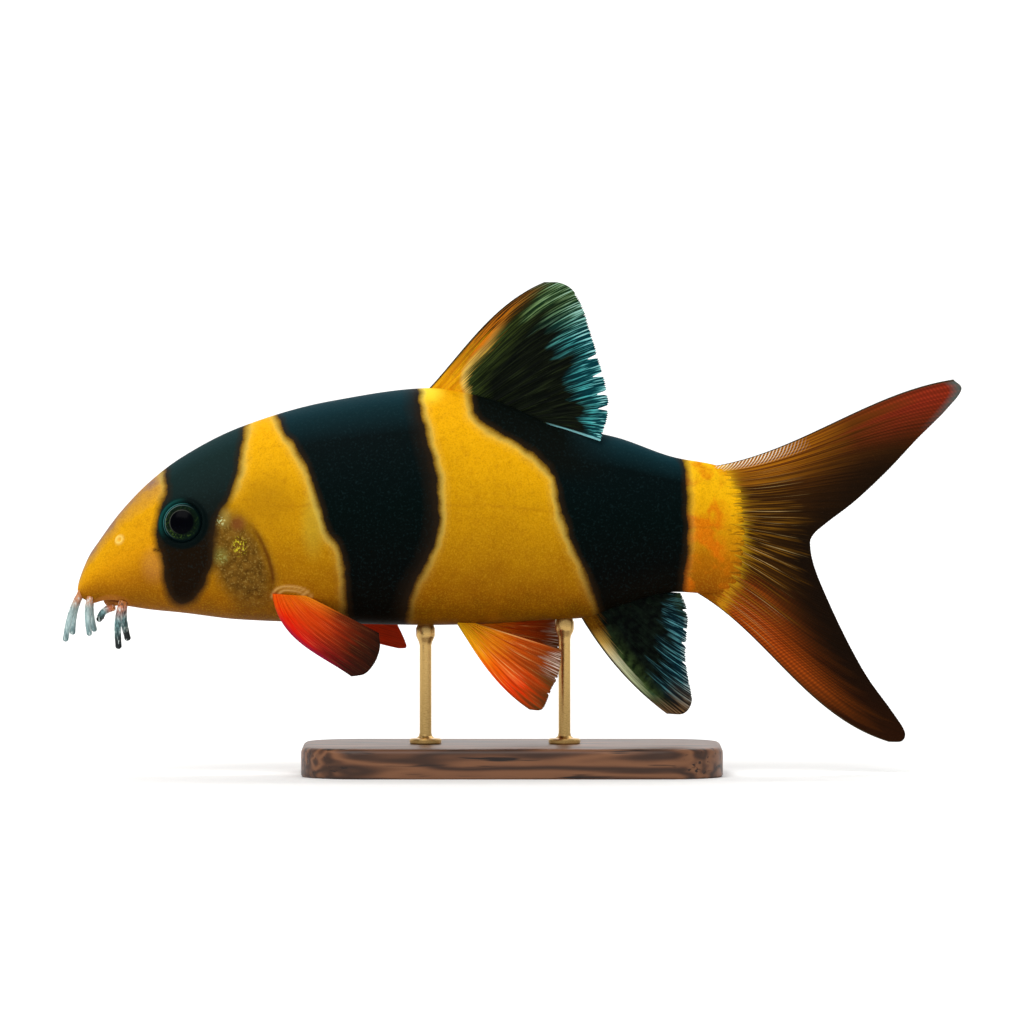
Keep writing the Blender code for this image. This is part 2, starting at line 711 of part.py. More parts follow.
def pelvic_fin(side, clearance):
    """The smaller pair under the belly, the right one held a little higher."""
    base = [(75.6, 31.6), (81.2, 31.8)]
    if side == LEFT:
        margin = [
            (90.4, 13.3), (92.8, 13.3), (93.9, 15.0), (94.9, 17.6),
            (96.0, 19.6), (96.6, 22.4), (96.8, 25.2),
        ]
        flare = 0.38
    else:
        margin = [
            (91.2, 17.4), (93.6, 17.8), (95.2, 20.4), (96.3, 23.8),
            (97.0, 27.0), (97.0, 29.4), (95.6, 30.6),
        ]
        flare = 0.46
    sideways = flared(side, 79.5, 31.4, 3.6, flare, 0.6)
    name = "pelvic_fin_left" if side == LEFT else "pelvic_fin_right"
    obj = fin(name, base, margin, (-2.7, -2.8), 8, sideways, rows=5, root_web=1.0, notch=0.4)
    return rooted(obj, clearance, name, SCARLET)


def stand_base():
    """A flat board with round corners and a softened upper edge."""
    steps = 6
    levels = [(0.0, STAND_CORNER)]
    for turn in (0, math.pi / 6, math.pi / 3, math.pi / 2):
        height = STAND_THICK - STAND_EDGE * (1 - math.sin(turn))
        levels.append((height, STAND_CORNER - STAND_EDGE * (1 - math.cos(turn))))
    rings = []
    for height, reach in levels:
        ring = []
        for corner, (x_way, y_way) in enumerate(((1, 1), (-1, 1), (-1, -1), (1, -1))):
            x = x_way * (STAND_LONG / 2 - STAND_CORNER) - SNOUT_X
            y = y_way * (STAND_WIDE / 2 - STAND_CORNER)
            for k in range(steps + 1):
                turn = math.pi / 2 * (corner + k / steps)
                ring.append((x + reach * math.cos(turn), y + reach * math.sin(turn), height))
        rings.append(ring)
    obj = mesh_object("stand_base", *tube_between(rings))
    return finish(obj, "stand_base", WALNUT, 0.45)


def stand_rod(name, along, clearance):
    """A turned rod on a foot, with a small head whose top is shaped to the belly."""
    top = BELLY(along) + 1.0
    profile = [
        (ROD_FOOT_RADIUS, 0.0), (ROD_FOOT_RADIUS, ROD_FOOT_THICK),
        (ROD_RADIUS, ROD_FOOT_THICK + 0.6), (ROD_RADIUS, top - STAND_THICK - ROD_HEAD_LONG - 1.6),
        (ROD_HEAD_RADIUS, top - STAND_THICK - ROD_HEAD_LONG), (ROD_HEAD_RADIUS, top - STAND_THICK),
    ]
    sides = 16
    rings = [
        [
            (along + r * math.cos(a), r * math.sin(a), STAND_THICK + GAP + h)
            for a in (2 * math.pi * k / sides for k in range(sides))
        ]
        for r, h in profile
    ]
    obj = mesh_object(name, *tube_between(rings))
    boolean(obj, [clearance], "DIFFERENCE", keep=True)
    return finish(obj, name, BRASS, 0.3, metallic=1.0)


def main():
    for old in list(bpy.data.objects):
        bpy.data.objects.remove(old)
    clearance = head_clearance()
    head()
    for side, word in ((LEFT, "left"), (RIGHT, "right")):
        gill_cover(side, "gill_cover_" + word)
        finish(eyeball("eye_" + word, side), "eye_" + word, TEAL, 0.08)
        for kind in BARBELS:
            barbel(kind, side, clearance)
        pectoral_fin(side, clearance)
        pelvic_fin(side, clearance)
    finish(body_length("trunk", HEAD_END + GAP, TRUNK_END), "trunk", GOLD, 0.35)
    finish(body_length("tail_stalk", TRUNK_END + GAP, FLESH_END), "tail_stalk", DARK, 0.35)
    dorsal_fin(clearance)
    anal_fin(clearance)
    tail_lobes(clearance)
    stand_base()
    stand_rod("stand_rod_front", RODS_ALONG[0], clearance)
    stand_rod("stand_rod_rear", RODS_ALONG[1], clearance)
    bpy.data.objects.remove(clearance)


main()
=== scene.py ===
"""A clown loach as a museum shows it: a painted, life-size model of the fish, held level over a
walnut board by two brass rods. The fish faces -X with its left side towards -Y. Its sizes are in
millimetres, and places along it are given as the distance behind the tip of the snout."""

import math

import bpy
import numpy as np
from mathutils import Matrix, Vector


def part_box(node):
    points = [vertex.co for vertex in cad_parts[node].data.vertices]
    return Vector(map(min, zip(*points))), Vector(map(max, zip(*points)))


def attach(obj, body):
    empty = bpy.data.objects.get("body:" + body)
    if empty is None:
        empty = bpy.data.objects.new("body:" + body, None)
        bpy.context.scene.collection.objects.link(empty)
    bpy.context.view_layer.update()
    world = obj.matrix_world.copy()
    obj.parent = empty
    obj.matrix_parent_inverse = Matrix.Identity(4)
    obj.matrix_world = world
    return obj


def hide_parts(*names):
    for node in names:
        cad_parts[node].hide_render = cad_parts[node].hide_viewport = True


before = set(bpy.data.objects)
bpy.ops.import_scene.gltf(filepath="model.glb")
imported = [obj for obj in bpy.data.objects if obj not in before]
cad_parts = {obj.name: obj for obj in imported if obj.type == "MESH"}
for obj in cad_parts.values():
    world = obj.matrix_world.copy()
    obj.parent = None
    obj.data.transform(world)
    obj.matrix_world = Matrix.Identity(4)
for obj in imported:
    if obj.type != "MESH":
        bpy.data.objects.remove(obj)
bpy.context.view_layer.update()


# The board is one piece of oiled walnut with round corners and a softened upper edge.
# It lies flat on the shelf, and the two rods are screwed to it from below.

MM = 0.001


def solid(name, points, faces, marks=None, sharp=None):
    """A smooth-shaded mesh from points in metres, with a number per point for each mark."""
    mesh = bpy.data.meshes.new(name)
    mesh.from_pydata(np.asarray(points, float).tolist(), [], faces)
    for mark, values in (marks or {}).items():
        layer = mesh.attributes.new(mark, "FLOAT", "POINT")
        layer.data.foreach_set("value", np.ascontiguousarray(values, np.float32).ravel())
    mesh.shade_smooth()
    if sharp:
        mesh.set_sharp_from_angle(angle=math.radians(sharp))
    piece = bpy.data.objects.new(name, mesh)
    bpy.context.scene.collection.objects.link(piece)
    return piece


def hoops(rings):
    """Points and faces of a closed skin over rings of equal count, given as an array."""
    rings = np.asarray(rings, float)
    count, sides = rings.shape[:2]
    points = np.vstack([rings.reshape(-1, 3), rings[0].mean(axis=0), rings[-1].mean(axis=0)])
    faces = []
    for i in range(count - 1):
        for j in range(sides):
            a, b = i * sides + j, i * sides + (j + 1) % sides
            faces.append((a, b, b + sides, a + sides))
    middle, last = count * sides, (count - 1) * sides
    for j in range(sides):
        following = (j + 1) % sides
        faces.append((following, j, middle))
        faces.append((last + j, last + following, middle + 1))
    return points, faces


def linear(colour):
    """An sRGB colour of 0-255 in linear light."""
    shares = [c / 255 for c in colour]
    return tuple(c / 12.92 if c <= 0.04045 else ((c + 0.055) / 1.055) ** 2.4 for c in shares)


class Finish:
    """One finish, as a Principled shader and the nodes that feed it."""

    def __init__(self, name, **sockets):
        self.material = bpy.data.materials.new(name)
        self.material.use_nodes = True
        self.tree = self.material.node_tree
        self.shader = self.tree.nodes["Principled BSDF"]
        for socket, value in sockets.items():
            self.shader.inputs[socket.replace("_", " ")].default_value = value

    def add(self, kind, *feeds, out=0, feed=(), **settings):
        """A node with its inputs fed, the first ones in order. A feed is another node's output,
        the name of a mark on the mesh or a value, and None leaves the input as it is."""
        node = self.tree.nodes.new(kind)
        for key, value in settings.items():
            setattr(node, key, value)
        for slot, value in list(enumerate(feeds)) + list(dict(feed).items()):
            if isinstance(value, str):
                value = self.mark(value)
            if isinstance(value, bpy.types.NodeSocket):
                self.tree.links.new(value, node.inputs[slot])
            elif value is not None:
                node.inputs[slot].default_value = value
        return node.outputs[out]

    def mark(self, name):
        return self.add("ShaderNodeAttribute", attribute_name=name, out=2)

    def math(self, operation, *feeds):
        return self.add("ShaderNodeMath", *feeds, operation=operation)

    def times(self, first, *others):
        for other in others:
            first = self.math("MULTIPLY", first, other)
        return first

    def span(self, value, low, high, to_low=0.0, to_high=1.0):
        """Maps low..high onto 0..1, or onto the range given, and stops at its ends."""
        return self.add("ShaderNodeMapRange", value, low, high, to_low, to_high)

    def noise(self, size, detail=2.0, rough=0.5, stretch=(1, 1, 1)):
        """Soft noise about 0.5 in the object's own space, in grains of size millimetres."""
        place = self.add("ShaderNodeTexCoord", out=3)
        place = self.add("ShaderNodeMapping", place, feed={"Scale": stretch})
        grain = {"Scale": 1 / (size * MM), "Detail": detail, "Roughness": rough}
        return self.add("ShaderNodeTexNoise", place, feed=grain)

    def ramp(self, value, *stops):
        """A colour read off a row of (place, sRGB colour 0-255)."""
        output = self.add("ShaderNodeValToRGB", value)
        line = output.node.color_ramp
        while len(line.elements) < len(stops):
            line.elements.new(1.0)
        for element, (where, _) in zip(line.elements, stops):
            element.position = where
        for element, (_, colour) in zip(line.elements, stops):
            element.color = (*linear(colour), 1)
        return output

    def mix(self, share, first, second):
        """Two colours mixed, each given as sRGB 0-255 or as another node's colour."""
        first, second = (
            c if isinstance(c, bpy.types.NodeSocket) else (*linear(c), 1) for c in (first, second)
        )
        return self.add("ShaderNodeMix", share, data_type="RGBA", out=2,
                        feed={6: first, 7: second})

    def coats(self, colour, *coats):
        """A colour under coats of (share, colour), laid one over another."""
        for share, paint in coats:
            colour = self.mix(share, colour, paint)
        return colour

    def bump(self, height, depth, previous=None):
        """Raises the surface by depth millimetres where height goes from 0 to 1."""
        return self.add("ShaderNodeBump", feed={
            "Strength": 1.0, "Distance": depth * MM, "Height": height, "Normal": previous,
        })

    def feed(self, **sockets):
        for socket, source in sockets.items():
            self.tree.links.new(source, self.shader.inputs[socket.replace("_", " ")])


def walnut():
    finish = Finish("oiled_walnut", Roughness=0.42, Specular_IOR_Level=0.35)
    grain = finish.noise(9.0, 3.0, 0.55, stretch=(0.10, 1.0, 1.0))
    pores = finish.noise(0.9, 2.0, 0.6, stretch=(0.06, 1.0, 1.0))
    rings = finish.math("SINE", finish.times(grain, 46.0))
    colour = finish.ramp(
        finish.span(rings, -1, 1), (0.0, (58, 35, 22)), (0.5, (92, 58, 37)), (1.0, (122, 80, 52)),
    )
    colour = finish.mix(finish.span(pores, 0.40, 0.30), colour, (34, 20, 13))
    finish.feed(Base_Color=colour, Normal=finish.bump(finish.span(pores, 0.30, 0.45), 0.03))
    return finish.material


def board():
    low, high = (np.array(c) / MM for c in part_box("stand_base"))
    corner, edge, bevel = 12.0, 1.2, 0.35
    steps, turns = 16, np.linspace(0, math.pi / 2, 7)
    levels = [(low[2], bevel), (low[2] + bevel, 0.0)]
    levels += [(high[2] - edge * (1 - math.sin(t)), edge * (1 - math.cos(t))) for t in turns]
    rings = []
    for height, shrink in levels:
        ring = []
        for quarter, (ex, ey) in enumerate(((1, 1), (0, 1), (0, 0), (1, 0))):
            x = high[0] - corner if ex else low[0] + corner
            y = high[1] - corner if ey else low[1] + corner
            for k in range(steps + 1):
                turn = math.pi / 2 * (quarter + k / steps)
                reach = corner - shrink
                ring.append((x + reach * math.cos(turn), y + reach * math.sin(turn), height))
        rings.append(ring)
    points, faces = hoops(rings)
    return solid("stand_board", points * MM, faces, sharp=35)


piece = board()
piece.data.materials.append(walnut())
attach(piece, "root")
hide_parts("stand_base")


# Each rod is turned brass, brushed and lacquered, with a foot that hides its screw and a small
# head shaped to the belly, where it is glued into the model.


def brass():
    finish = Finish("brushed_brass", Metallic=1.0, Roughness=0.3)
    brushing = finish.noise(0.5, 2.0, 0.6, stretch=(1.0, 1.0, 12.0))
    colour = finish.mix(finish.span(brushing, 0.3, 0.7), (190, 152, 88), (208, 174, 112))
    finish.feed(
        Base_Color=colour,
        Roughness=finish.span(brushing, 0.3, 0.7, 0.24, 0.38),
        Normal=finish.bump(brushing, 0.008),
    )
    return finish.material


def turned(name, x, profile, sides=48):
    """A piece turned on a vertical axis at x, from (radius, height) pairs."""
    around = np.linspace(0, 2 * math.pi, sides, endpoint=False)
    rings = [
        np.column_stack([x + r * np.cos(around), r * np.sin(around), np.full(sides, h)])
        for r, h in profile
    ]
    points, faces = hoops(rings)
    return solid(name, points * MM, faces, sharp=30)


brass_finish = brass()
for word in ("front", "rear"):
    low, high = (np.array(c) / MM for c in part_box("stand_rod_" + word))
    middle = (low[0] + high[0]) / 2
    top, foot = high[2] + 0.6, low[2] - 0.3
    profile = [(3.0, foot), (3.2, foot + 0.2), (3.2, foot + 0.8), (3.0, foot + 1.05)]
    profile += [(1.7, foot + 1.25), (1.35, foot + 1.6), (1.2, foot + 2.2), (1.2, top - 4.6)]
    profile += [(1.35, top - 3.9), (1.75, top - 3.1), (1.9, top - 2.6), (1.9, top - 1.2), (1.4, top)]
    piece = turned("stand_rod_" + word + "_turned", middle, profile)
    piece.data.materials.append(brass_finish)
    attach(piece, "root")
    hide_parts("stand_rod_" + word)


# The body is one cast skin from snout to tail: skull, lips, nostrils, the folds round the eyes,
# the gill covers with their free rear edges, the flanks and the tail stalk. It is painted in
# gold with three blue-black bands edged in pale yellow, over scales too fine to see singly.

SNOUT_X = -86.9  # where the snout's tip stands from the centre of the stand
NOSE_ROUND, SNOUT_HEIGHT = 3.0, 36.8
FLESH_END = 132.6
BODY_STATIONS = (  # behind the snout, heights of back and belly, half the width
    (0.0, 40.6, 34.6, 3.4),
    (2.6, 44.2, 34.5, 4.3),
    (8.6, 52.4, 33.8, 6.5),
    (14.6, 58.6, 32.9, 8.5),
    (20.6, 63.2, 32.3, 9.9),
    (32.6, 69.4, 30.9, 11.7),
    (50.6, 74.6, 30.2, 13.1),
    (71.0, 77.2, 29.8, 12.9),
    (80.6, 75.6, 30.0, 11.8),
    (93.6, 70.8, 30.8, 9.4),
    (101.2, 68.8, 31.2, 7.9),
    (107.6, 67.4, 33.4, 6.7),
    (119.6, 63.3, 36.4, 4.5),
    (127.6, 61.8, 36.0, 2.9),
    (132.6, 59.8, 37.8, 1.8),
)
WIDEST_AT_HEAD, WIDEST_AT_TAIL = 0.36, 0.48
BACK_ROUNDNESS, BELLY_ROUNDNESS = 1.85, 2.45


def smooth_line(places, values):
    """A cubic through a few stations that doesn't swing past them, for arrays of places."""
    places, values = np.array(places, float), np.array(values, float)
    steps = np.diff(places)
    rises = np.diff(values) / steps
    slopes = np.zeros(len(places))
    slopes[0], slopes[-1] = rises[0], rises[-1]
    for i in range(1, len(places) - 1):
        if rises[i - 1] * rises[i] > 0:
            before, after = 2 * steps[i] + steps[i - 1], steps[i] + 2 * steps[i - 1]
            slopes[i] = (before + after) / (before / rises[i - 1] + after / rises[i])

    def read(place):
        i = np.clip(np.searchsorted(places, place) - 1, 0, len(steps) - 1)
        t = np.clip((place - places[i]) / steps[i], 0, 1)
        swing = t * (1 - t) ** 2 * slopes[i] - t * t * (1 - t) * slopes[i + 1]
        return values[i] + (values[i + 1] - values[i]) * t * t * (3 - 2 * t) + steps[i] * swing

    return read


stations = list(zip(*BODY_STATIONS))
back_line = smooth_line(stations[0], stations[1])
belly_line = smooth_line(stations[0], stations[2])
width_line = smooth_line(stations[0], stations[3])


def section(along):
    """Half width, widest height, and reach above and below it, at places along the body."""
    along = np.asarray(along, float)
    widest = WIDEST_AT_HEAD + (WIDEST_AT_TAIL - WIDEST_AT_HEAD) * np.clip(along / FLESH_END, 0, 1)
    closing = np.sqrt(np.clip(1 - np.clip(1 - along / NOSE_ROUND, 0, 1) ** 2, 0, 1))
    back = SNOUT_HEIGHT + (back_line(along) - SNOUT_HEIGHT) * closing
    belly = SNOUT_HEIGHT + (belly_line(along) - SNOUT_HEIGHT) * closing
    level = belly + widest * (back - belly)
    return width_line(along) * closing, level, back - level, level - belly


def side_y(along, height):
    """How far the body's side stands from its middle plane."""
    half, level, up, down = section(along)
    above = height > level
    power = np.where(above, BACK_ROUNDNESS, BELLY_ROUNDNESS)
    share = np.clip(np.abs(height - level) / np.where(above, up, down), 0, 1)
    return half * (1 - share**power) ** (1 / power)


def curve_through(points, count):
    """Evenly spaced points on a smooth line through a few given ones."""
    points = np.array(points, float)
    if len(points) == 2:
        fine = np.linspace(points[0], points[1], 200)
    else:
        padded = np.vstack([2 * points[0] - points[1], points, 2 * points[-1] - points[-2]])
        t = np.linspace(0, 1, 60)[:, None]
        fine = np.vstack([
            0.5 * (
                2 * b + (c - a) * t + (2 * a - 5 * b + 4 * c - d) * t**2
                + (3 * b - a - 3 * c + d) * t**3
            )
            for a, b, c, d in zip(padded, padded[1:], padded[2:], padded[3:])
        ])
    lengths = np.concatenate([[0], np.cumsum(np.linalg.norm(np.diff(fine, axis=0), axis=1))])
    wanted = np.linspace(0, lengths[-1], count)
    return np.column_stack([np.interp(wanted, lengths, column) for column in fine.T])


# Front and rear edges of the dark bands, from the back down, as (behind the snout, height). The
# last band runs on into the dorsal fin above and the anal fin below.
BANDS = (
    (
        ((17.0, 84), (17.0, 60.4), (17.5, 57.4), (16.2, 53.0), (15.5, 49.5), (16.0, 45.6),
         (16.9, 42.0), (17.1, 39.4), (17.7, 36.6), (18.8, 34.6), (20.6, 33.8)),
        ((37.3, 84), (33.9, 67.8), (33.0, 60.8), (31.4, 55.6), (28.9, 51.4), (28.3, 48.4),
         (28.0, 43.0), (26.8, 39.4), (25.2, 36.4), (23.6, 34.4), (21.6, 33.8)),
    ),
    (
        ((32.4, 84), (39.2, 72.2), (40.6, 68.8), (43.5, 65.0), (45.6, 60.8), (47.7, 54.8),
         (49.7, 48.8), (52.0, 45.2), (53.1, 40.6), (53.2, 34.6), (54.0, 28.0)),
        ((68.4, 84), (69.2, 73.6), (71.0, 66.6), (72.4, 60.6), (73.0, 54.6), (72.7, 48.6),
         (70.6, 42.6), (67.6, 36.8), (66.6, 32.6), (66.0, 28.0)),
    ),
    (
        ((99.4, 106.0), (95.0, 99.4), (90.4, 95.2), (86.9, 92.0), (84.3, 88.8), (82.3, 85.6),
         (79.2, 82.4), (77.4, 79.2), (78.2, 76.0), (78.3, 72.8), (80.8, 69.6), (86.5, 66.4),
         (90.9, 63.4), (94.5, 59.6), (95.6, 54.6), (97.9, 47.0), (100.9, 40.2), (103.0, 34.8),
         (104.6, 29.4), (106.9, 24.6), (111.3, 18.8), (115.4, 14.0), (122.0, 6.0)),
        ((117.0, 106.0), (118.6, 70.0), (122.0, 62.6), (122.5, 57.2), (122.7, 48.2),
         (122.3, 42.6), (121.6, 37.8), (122.6, 34.4), (126.0, 31.0), (130.0, 26.0),
         (130.0, 6.0)),
    ),
)


def depth_in_bands(along, height):
    """Millimetres inside the nearest dark band's edge, or outside it as a minus."""
    along, height = np.asarray(along, float), np.asarray(height, float)
    deepest = np.full(along.shape, -99.0)
    for front, rear in BANDS:
        outline = np.vstack([curve_through(front, 60), curve_through(rear, 60)[::-1]])
        nearest = np.full(along.shape, 1e9)
        inside = np.zeros(along.shape, bool)
        for (ax, az), (bx, bz) in zip(outline, np.roll(outline, -1, axis=0)):
            dx, dz = bx - ax, bz - az
            length = dx * dx + dz * dz
            if length < 1e-9:
                continue
            t = np.clip(((along - ax) * dx + (height - az) * dz) / length, 0, 1)
            nearest = np.minimum(nearest, np.hypot(along - ax - t * dx, height - az - t * dz))
            if abs(dz) > 1e-9:
                crosses = (az > height) != (bz > height)
                inside ^= crosses & (along < ax + dx * (height - az) / dz)
        deepest = np.maximum(deepest, np.where(inside, nearest, -nearest))
    return deepest


def bell(distance, width):
    return np.exp(-((distance / width) ** 2))


def ease(value, low, high):
    """Rises smoothly from 0 at low to 1 at high."""
    t = np.clip((value - low) / (high - low), 0, 1)
    return t * t * (3 - 2 * t)


def from_horseshoe(along, y, corner, reach, half):
    """Distance from an arc round the mouth, and how near the point is to its middle."""
    nearest, best = np.full(along.shape, 1e9), np.zeros(along.shape)
    for turn in np.linspace(-math.pi / 2, math.pi / 2, 60):
        distance = np.hypot(along - (corner - reach * math.cos(turn)), y - half * math.sin(turn))
        closer = distance < nearest
        nearest = np.where(closer, distance, nearest)
        best = np.where(closer, math.cos(turn), best)
    return nearest, best


EYE_ALONG, EYE_HEIGHT = 21.3, 50.5
EYE_RADIUS, EYE_DEPTH, EYE_STANDS_OUT = 4.6, 3.3, 1.5
EYE_TURN, EYE_LIFT = math.radians(10), math.radians(10)
GILL_ALONG, GILL_HEIGHT = 32.0, 43.6
GILL_FRONT, GILL_BACK, GILL_TALL = 5.2, 6.2, 9.4
NOSTRIL_ALONG, NOSTRIL_HEIGHT = 8.6, 47.0
UPPER_LIP = (9.6, 6.4, 4.3)  # corners' distance behind the snout, reach forward, half width
LOWER_LIP = (10.2, 4.2, 3.3)
MOUTH_LINE = (9.9, 5.3, 3.85)
SPINE_SLIT_ALONG, SPINE_SLIT_HEIGHT = 16.5, 45.0
FIN_FOLDS_ALONG, FIN_FOLDS_HEIGHT = 42.8, 34.9
SIDE_LINE_FRONT, SIDE_LINE_FALL = 54.0, 4.6
STALK_MIDDLE, STALK_HALF = 48.8, 11.2  # height of the tail stalk's end, and half its depth


def eye_axes(side):
    """The eye's centre and three axes: forward along the head, upward, and out of the head."""
    out = np.array((
        -math.sin(EYE_TURN) * math.cos(EYE_LIFT),
        side * math.cos(EYE_TURN) * math.cos(EYE_LIFT),
        math.sin(EYE_LIFT),
    ))
    surface = np.array((EYE_ALONG, side * float(side_y(EYE_ALONG, EYE_HEIGHT)), EYE_HEIGHT))
    ahead = np.cross((0, 0, side), out)
    ahead /= np.linalg.norm(ahead)
    return surface + out * (EYE_STANDS_OUT - EYE_DEPTH), ahead, np.cross(out, ahead) * side, out


def body_grid():
    """The plain body as rings of points (behind the snout, Y, height)."""
    nose = NOSE_ROUND * (1 - np.cos(np.linspace(0.10, math.pi / 2, 18)))
    head = np.arange(NOSE_ROUND + 0.25, 42.0, 0.25)
    rest = np.linspace(42.4, FLESH_END, 124)
    places = np.concatenate([nose, head, rest])
    sides = 320
    turns = np.linspace(0, 2 * math.pi, sides, endpoint=False)
    c, s = np.cos(turns), np.sin(turns)
    half, level, up, down = (v[:, None] for v in section(places))
    power = np.where(s > 0, BACK_ROUNDNESS, BELLY_ROUNDNESS)
    y = -half * np.sign(c) * np.abs(c) ** (2 / power)
    z = level + np.where(s > 0, up, down) * np.sign(s) * np.abs(s) ** (2 / power)
    x = np.repeat(places[:, None], sides, axis=1)
    # the flesh thins evenly to an edge over the roots of the tail's rays
    y *= 1 - 0.72 * ease(places, 123.0, FLESH_END)[:, None]
    thin = np.linspace(0, 1, 14)[1:, None]
    bulge = 1.6 * (1 - (np.abs(z[-1:] - STALK_MIDDLE) / STALK_HALF) ** 2)
    x = np.vstack([x, x[-1:] + bulge * thin])
    y = np.vstack([y, y[-1:] * (1 - thin**1.15)])
    z = np.vstack([z, z[-1:] + (STALK_MIDDLE - z[-1:]) * 0.04 * thin])
    return np.stack([x, y, z], axis=2)


def outward(grid):
    """Unit normals of a skin of rings."""
    around = np.roll(grid, -1, axis=1) - np.roll(grid, 1, axis=1)
    normal = np.cross(around, np.gradient(grid, axis=0))
    normal /= np.maximum(np.linalg.norm(normal, axis=2, keepdims=True), 1e-9)
    return normal if normal[60, 0, 1] < 0 else -normal


def rise_at(along, height):
    """0 at the belly's line and 1 at the back's."""
    _, level, up, down = section(np.minimum(along, FLESH_END))
    return np.clip((height - (level - down)) / np.maximum(up + down, 1e-6), 0, 1)


def body_skin():
    grid = body_grid()
    x, y, z = (grid[:, :, k] for k in range(3))
    normal = outward(grid)
    raised = np.zeros(x.shape)
    gill, cleft, rim, lit, ring, pit, slit, fold = (np.zeros(x.shape) for _ in range(8))

    # lips: two horseshoes of flesh, and the mouth's line between them that gapes in front
    under = ease(-normal[:, :, 2], 0.0, 0.5) * (x < 14)
    upper, upper_mid = from_horseshoe(x, y, *UPPER_LIP)
    lower, lower_mid = from_horseshoe(x, y, *LOWER_LIP)
    line, line_mid = from_horseshoe(x, y, *MOUTH_LINE)
    upper_lip = np.sqrt(np.clip(1 - (upper / 1.05) ** 2, 0, 1)) * (0.5 + 0.5 * upper_mid)
    lower_lip = np.sqrt(np.clip(1 - (lower / 1.0) ** 2, 0, 1)) * (0.35 + 0.65 * lower_mid)
    mouth = under * bell(line, 0.30)
    dropped = under * (0.35 * upper_lip + 0.6 * lower_lip) - 0.5 * mouth
    dropped -= 1.1 * under * bell(line, 0.8) * line_mid**2
    lips = under * np.clip(upper_lip + lower_lip, 0, 1)

    for side in (-1, 1):
        here = (np.sign(y) == side) | (np.abs(y) < 0.01)
        # socket and the dark fold of skin round the eye, with a blue-green painted highlight in front
        centre, ahead, upright, out = eye_axes(side)
        offset = grid - centre
        forward, lifted = offset @ ahead, offset @ upright
        away = np.hypot(forward, lifted)
        near = here & ((offset @ out) > -1.0) & (away < 9)
        raised += near * (
            -2.4 * ease(-away, -4.05, -3.45) + 0.5 * bell(away - 4.4, 0.38)
            - 0.12 * bell(away - 5.25, 0.3)
        )
        cover = near * ease(-away, -5.5, -5.05)
        rim = np.maximum(rim, cover)
        facing = (0.88 * forward + 0.47 * lifted) / np.maximum(away, 1e-6)
        lit = np.maximum(lit, cover * ease(facing, 0.25, 0.98) * bell(away - 4.6, 0.5))
        # nostril: a short tube
        spot = np.array((
            NOSTRIL_ALONG, side * float(side_y(NOSTRIL_ALONG, NOSTRIL_HEIGHT)), NOSTRIL_HEIGHT,
        ))
        away = np.linalg.norm(grid - spot, axis=2)
        raised += here * (0.42 * bell(away - 0.72, 0.26) - 0.35 * bell(away, 0.42))
        ring = np.maximum(ring, here * bell(away - 0.66, 0.30))
        pit = np.maximum(pit, here * bell(away, 0.32))
        # slit that hides the spine below the eye
        behind = x - SPINE_SLIT_ALONG
        away = np.hypot(np.clip(np.abs(behind) - 0.9, 0, None), z - SPINE_SLIT_HEIGHT + 0.06 * behind)
        raised += here * (-0.28 * bell(away, 0.18) + 0.12 * bell(away - 0.4, 0.22))
        slit = np.maximum(slit, here * bell(away, 0.2))
        # gill cover: flush in front, free behind, over a shadowed cleft that slants back
        lift = z - GILL_HEIGHT
        along = x - GILL_ALONG + 0.34 * lift
        reach = np.where(along > 0, GILL_BACK, GILL_FRONT)
        ratio = (np.abs(along / reach) ** 2.2 + np.abs(lift / GILL_TALL) ** 2.2) ** (1 / 2.2)
        beyond = (ratio - 1) * 6.5
        share = np.clip((along + GILL_FRONT) / (GILL_FRONT + GILL_BACK), 0, 1)
        raised += here * (
            0.32 * share**2.5 * ease(-beyond, -0.3, 0.5)
            - 0.28 * share**2 * bell(beyond - 0.5, 0.42)
            + 0.08 * share**2 * bell(beyond + 0.8, 0.6)
        )
        gill = np.maximum(gill, here * ease(-beyond, -2.6, 2.2))
        open_part = ease(lift, -6.5, -4.0) * ease(-lift, -7.5, -4.5)
        cleft = np.maximum(cleft, here * share**2 * bell(beyond - 0.2, 0.42) * open_part)
        # wrinkles of skin over the root of the pectoral fin
        behind, lift = x - FIN_FOLDS_ALONG, z - FIN_FOLDS_HEIGHT
        away = np.hypot(behind / 1.25, lift)
        away += 0.14 * np.sin(5 * np.arctan2(lift, behind) + 0.6 * x)
        arch = here * ease(z, 34.8, 36.0)
        for reach in (2.3, 3.1):
            raised += arch * 0.11 * bell(away - reach, 0.27)
            fold = np.maximum(fold, arch * bell(away - reach, 0.24))

    # the side line, a row of fine pores from the gill cover to the tail
    line_at = SIDE_LINE_FRONT - SIDE_LINE_FALL * ease(x, 78.0, 126.0)
    side_line = bell(z - line_at, 0.22) * ease(x, 39.0, 43.0)
    raised -= 0.05 * side_line

    grid = grid + normal * raised[:, :, None]
    grid[:, :, 2] -= dropped
    marks = {
        "depth": depth_in_bands(x, z), "along": x, "height": z, "rise": rise_at(x, z),
        "gill": gill, "cleft": cleft, "rim": rim, "lit": lit, "ring": ring, "pit": pit,
        "slit": slit, "fold": fold, "lips": lips, "mouth": mouth, "side_line": side_line,
    }
    points, faces = hoops(grid)
    marks = {
        name: np.concatenate([v.ravel(), [v[0].mean(), v[-1].mean()]]) for name, v in marks.items()
    }
    points[:, 0] += SNOUT_X
    return solid("body_skin", points * MM, faces, marks)


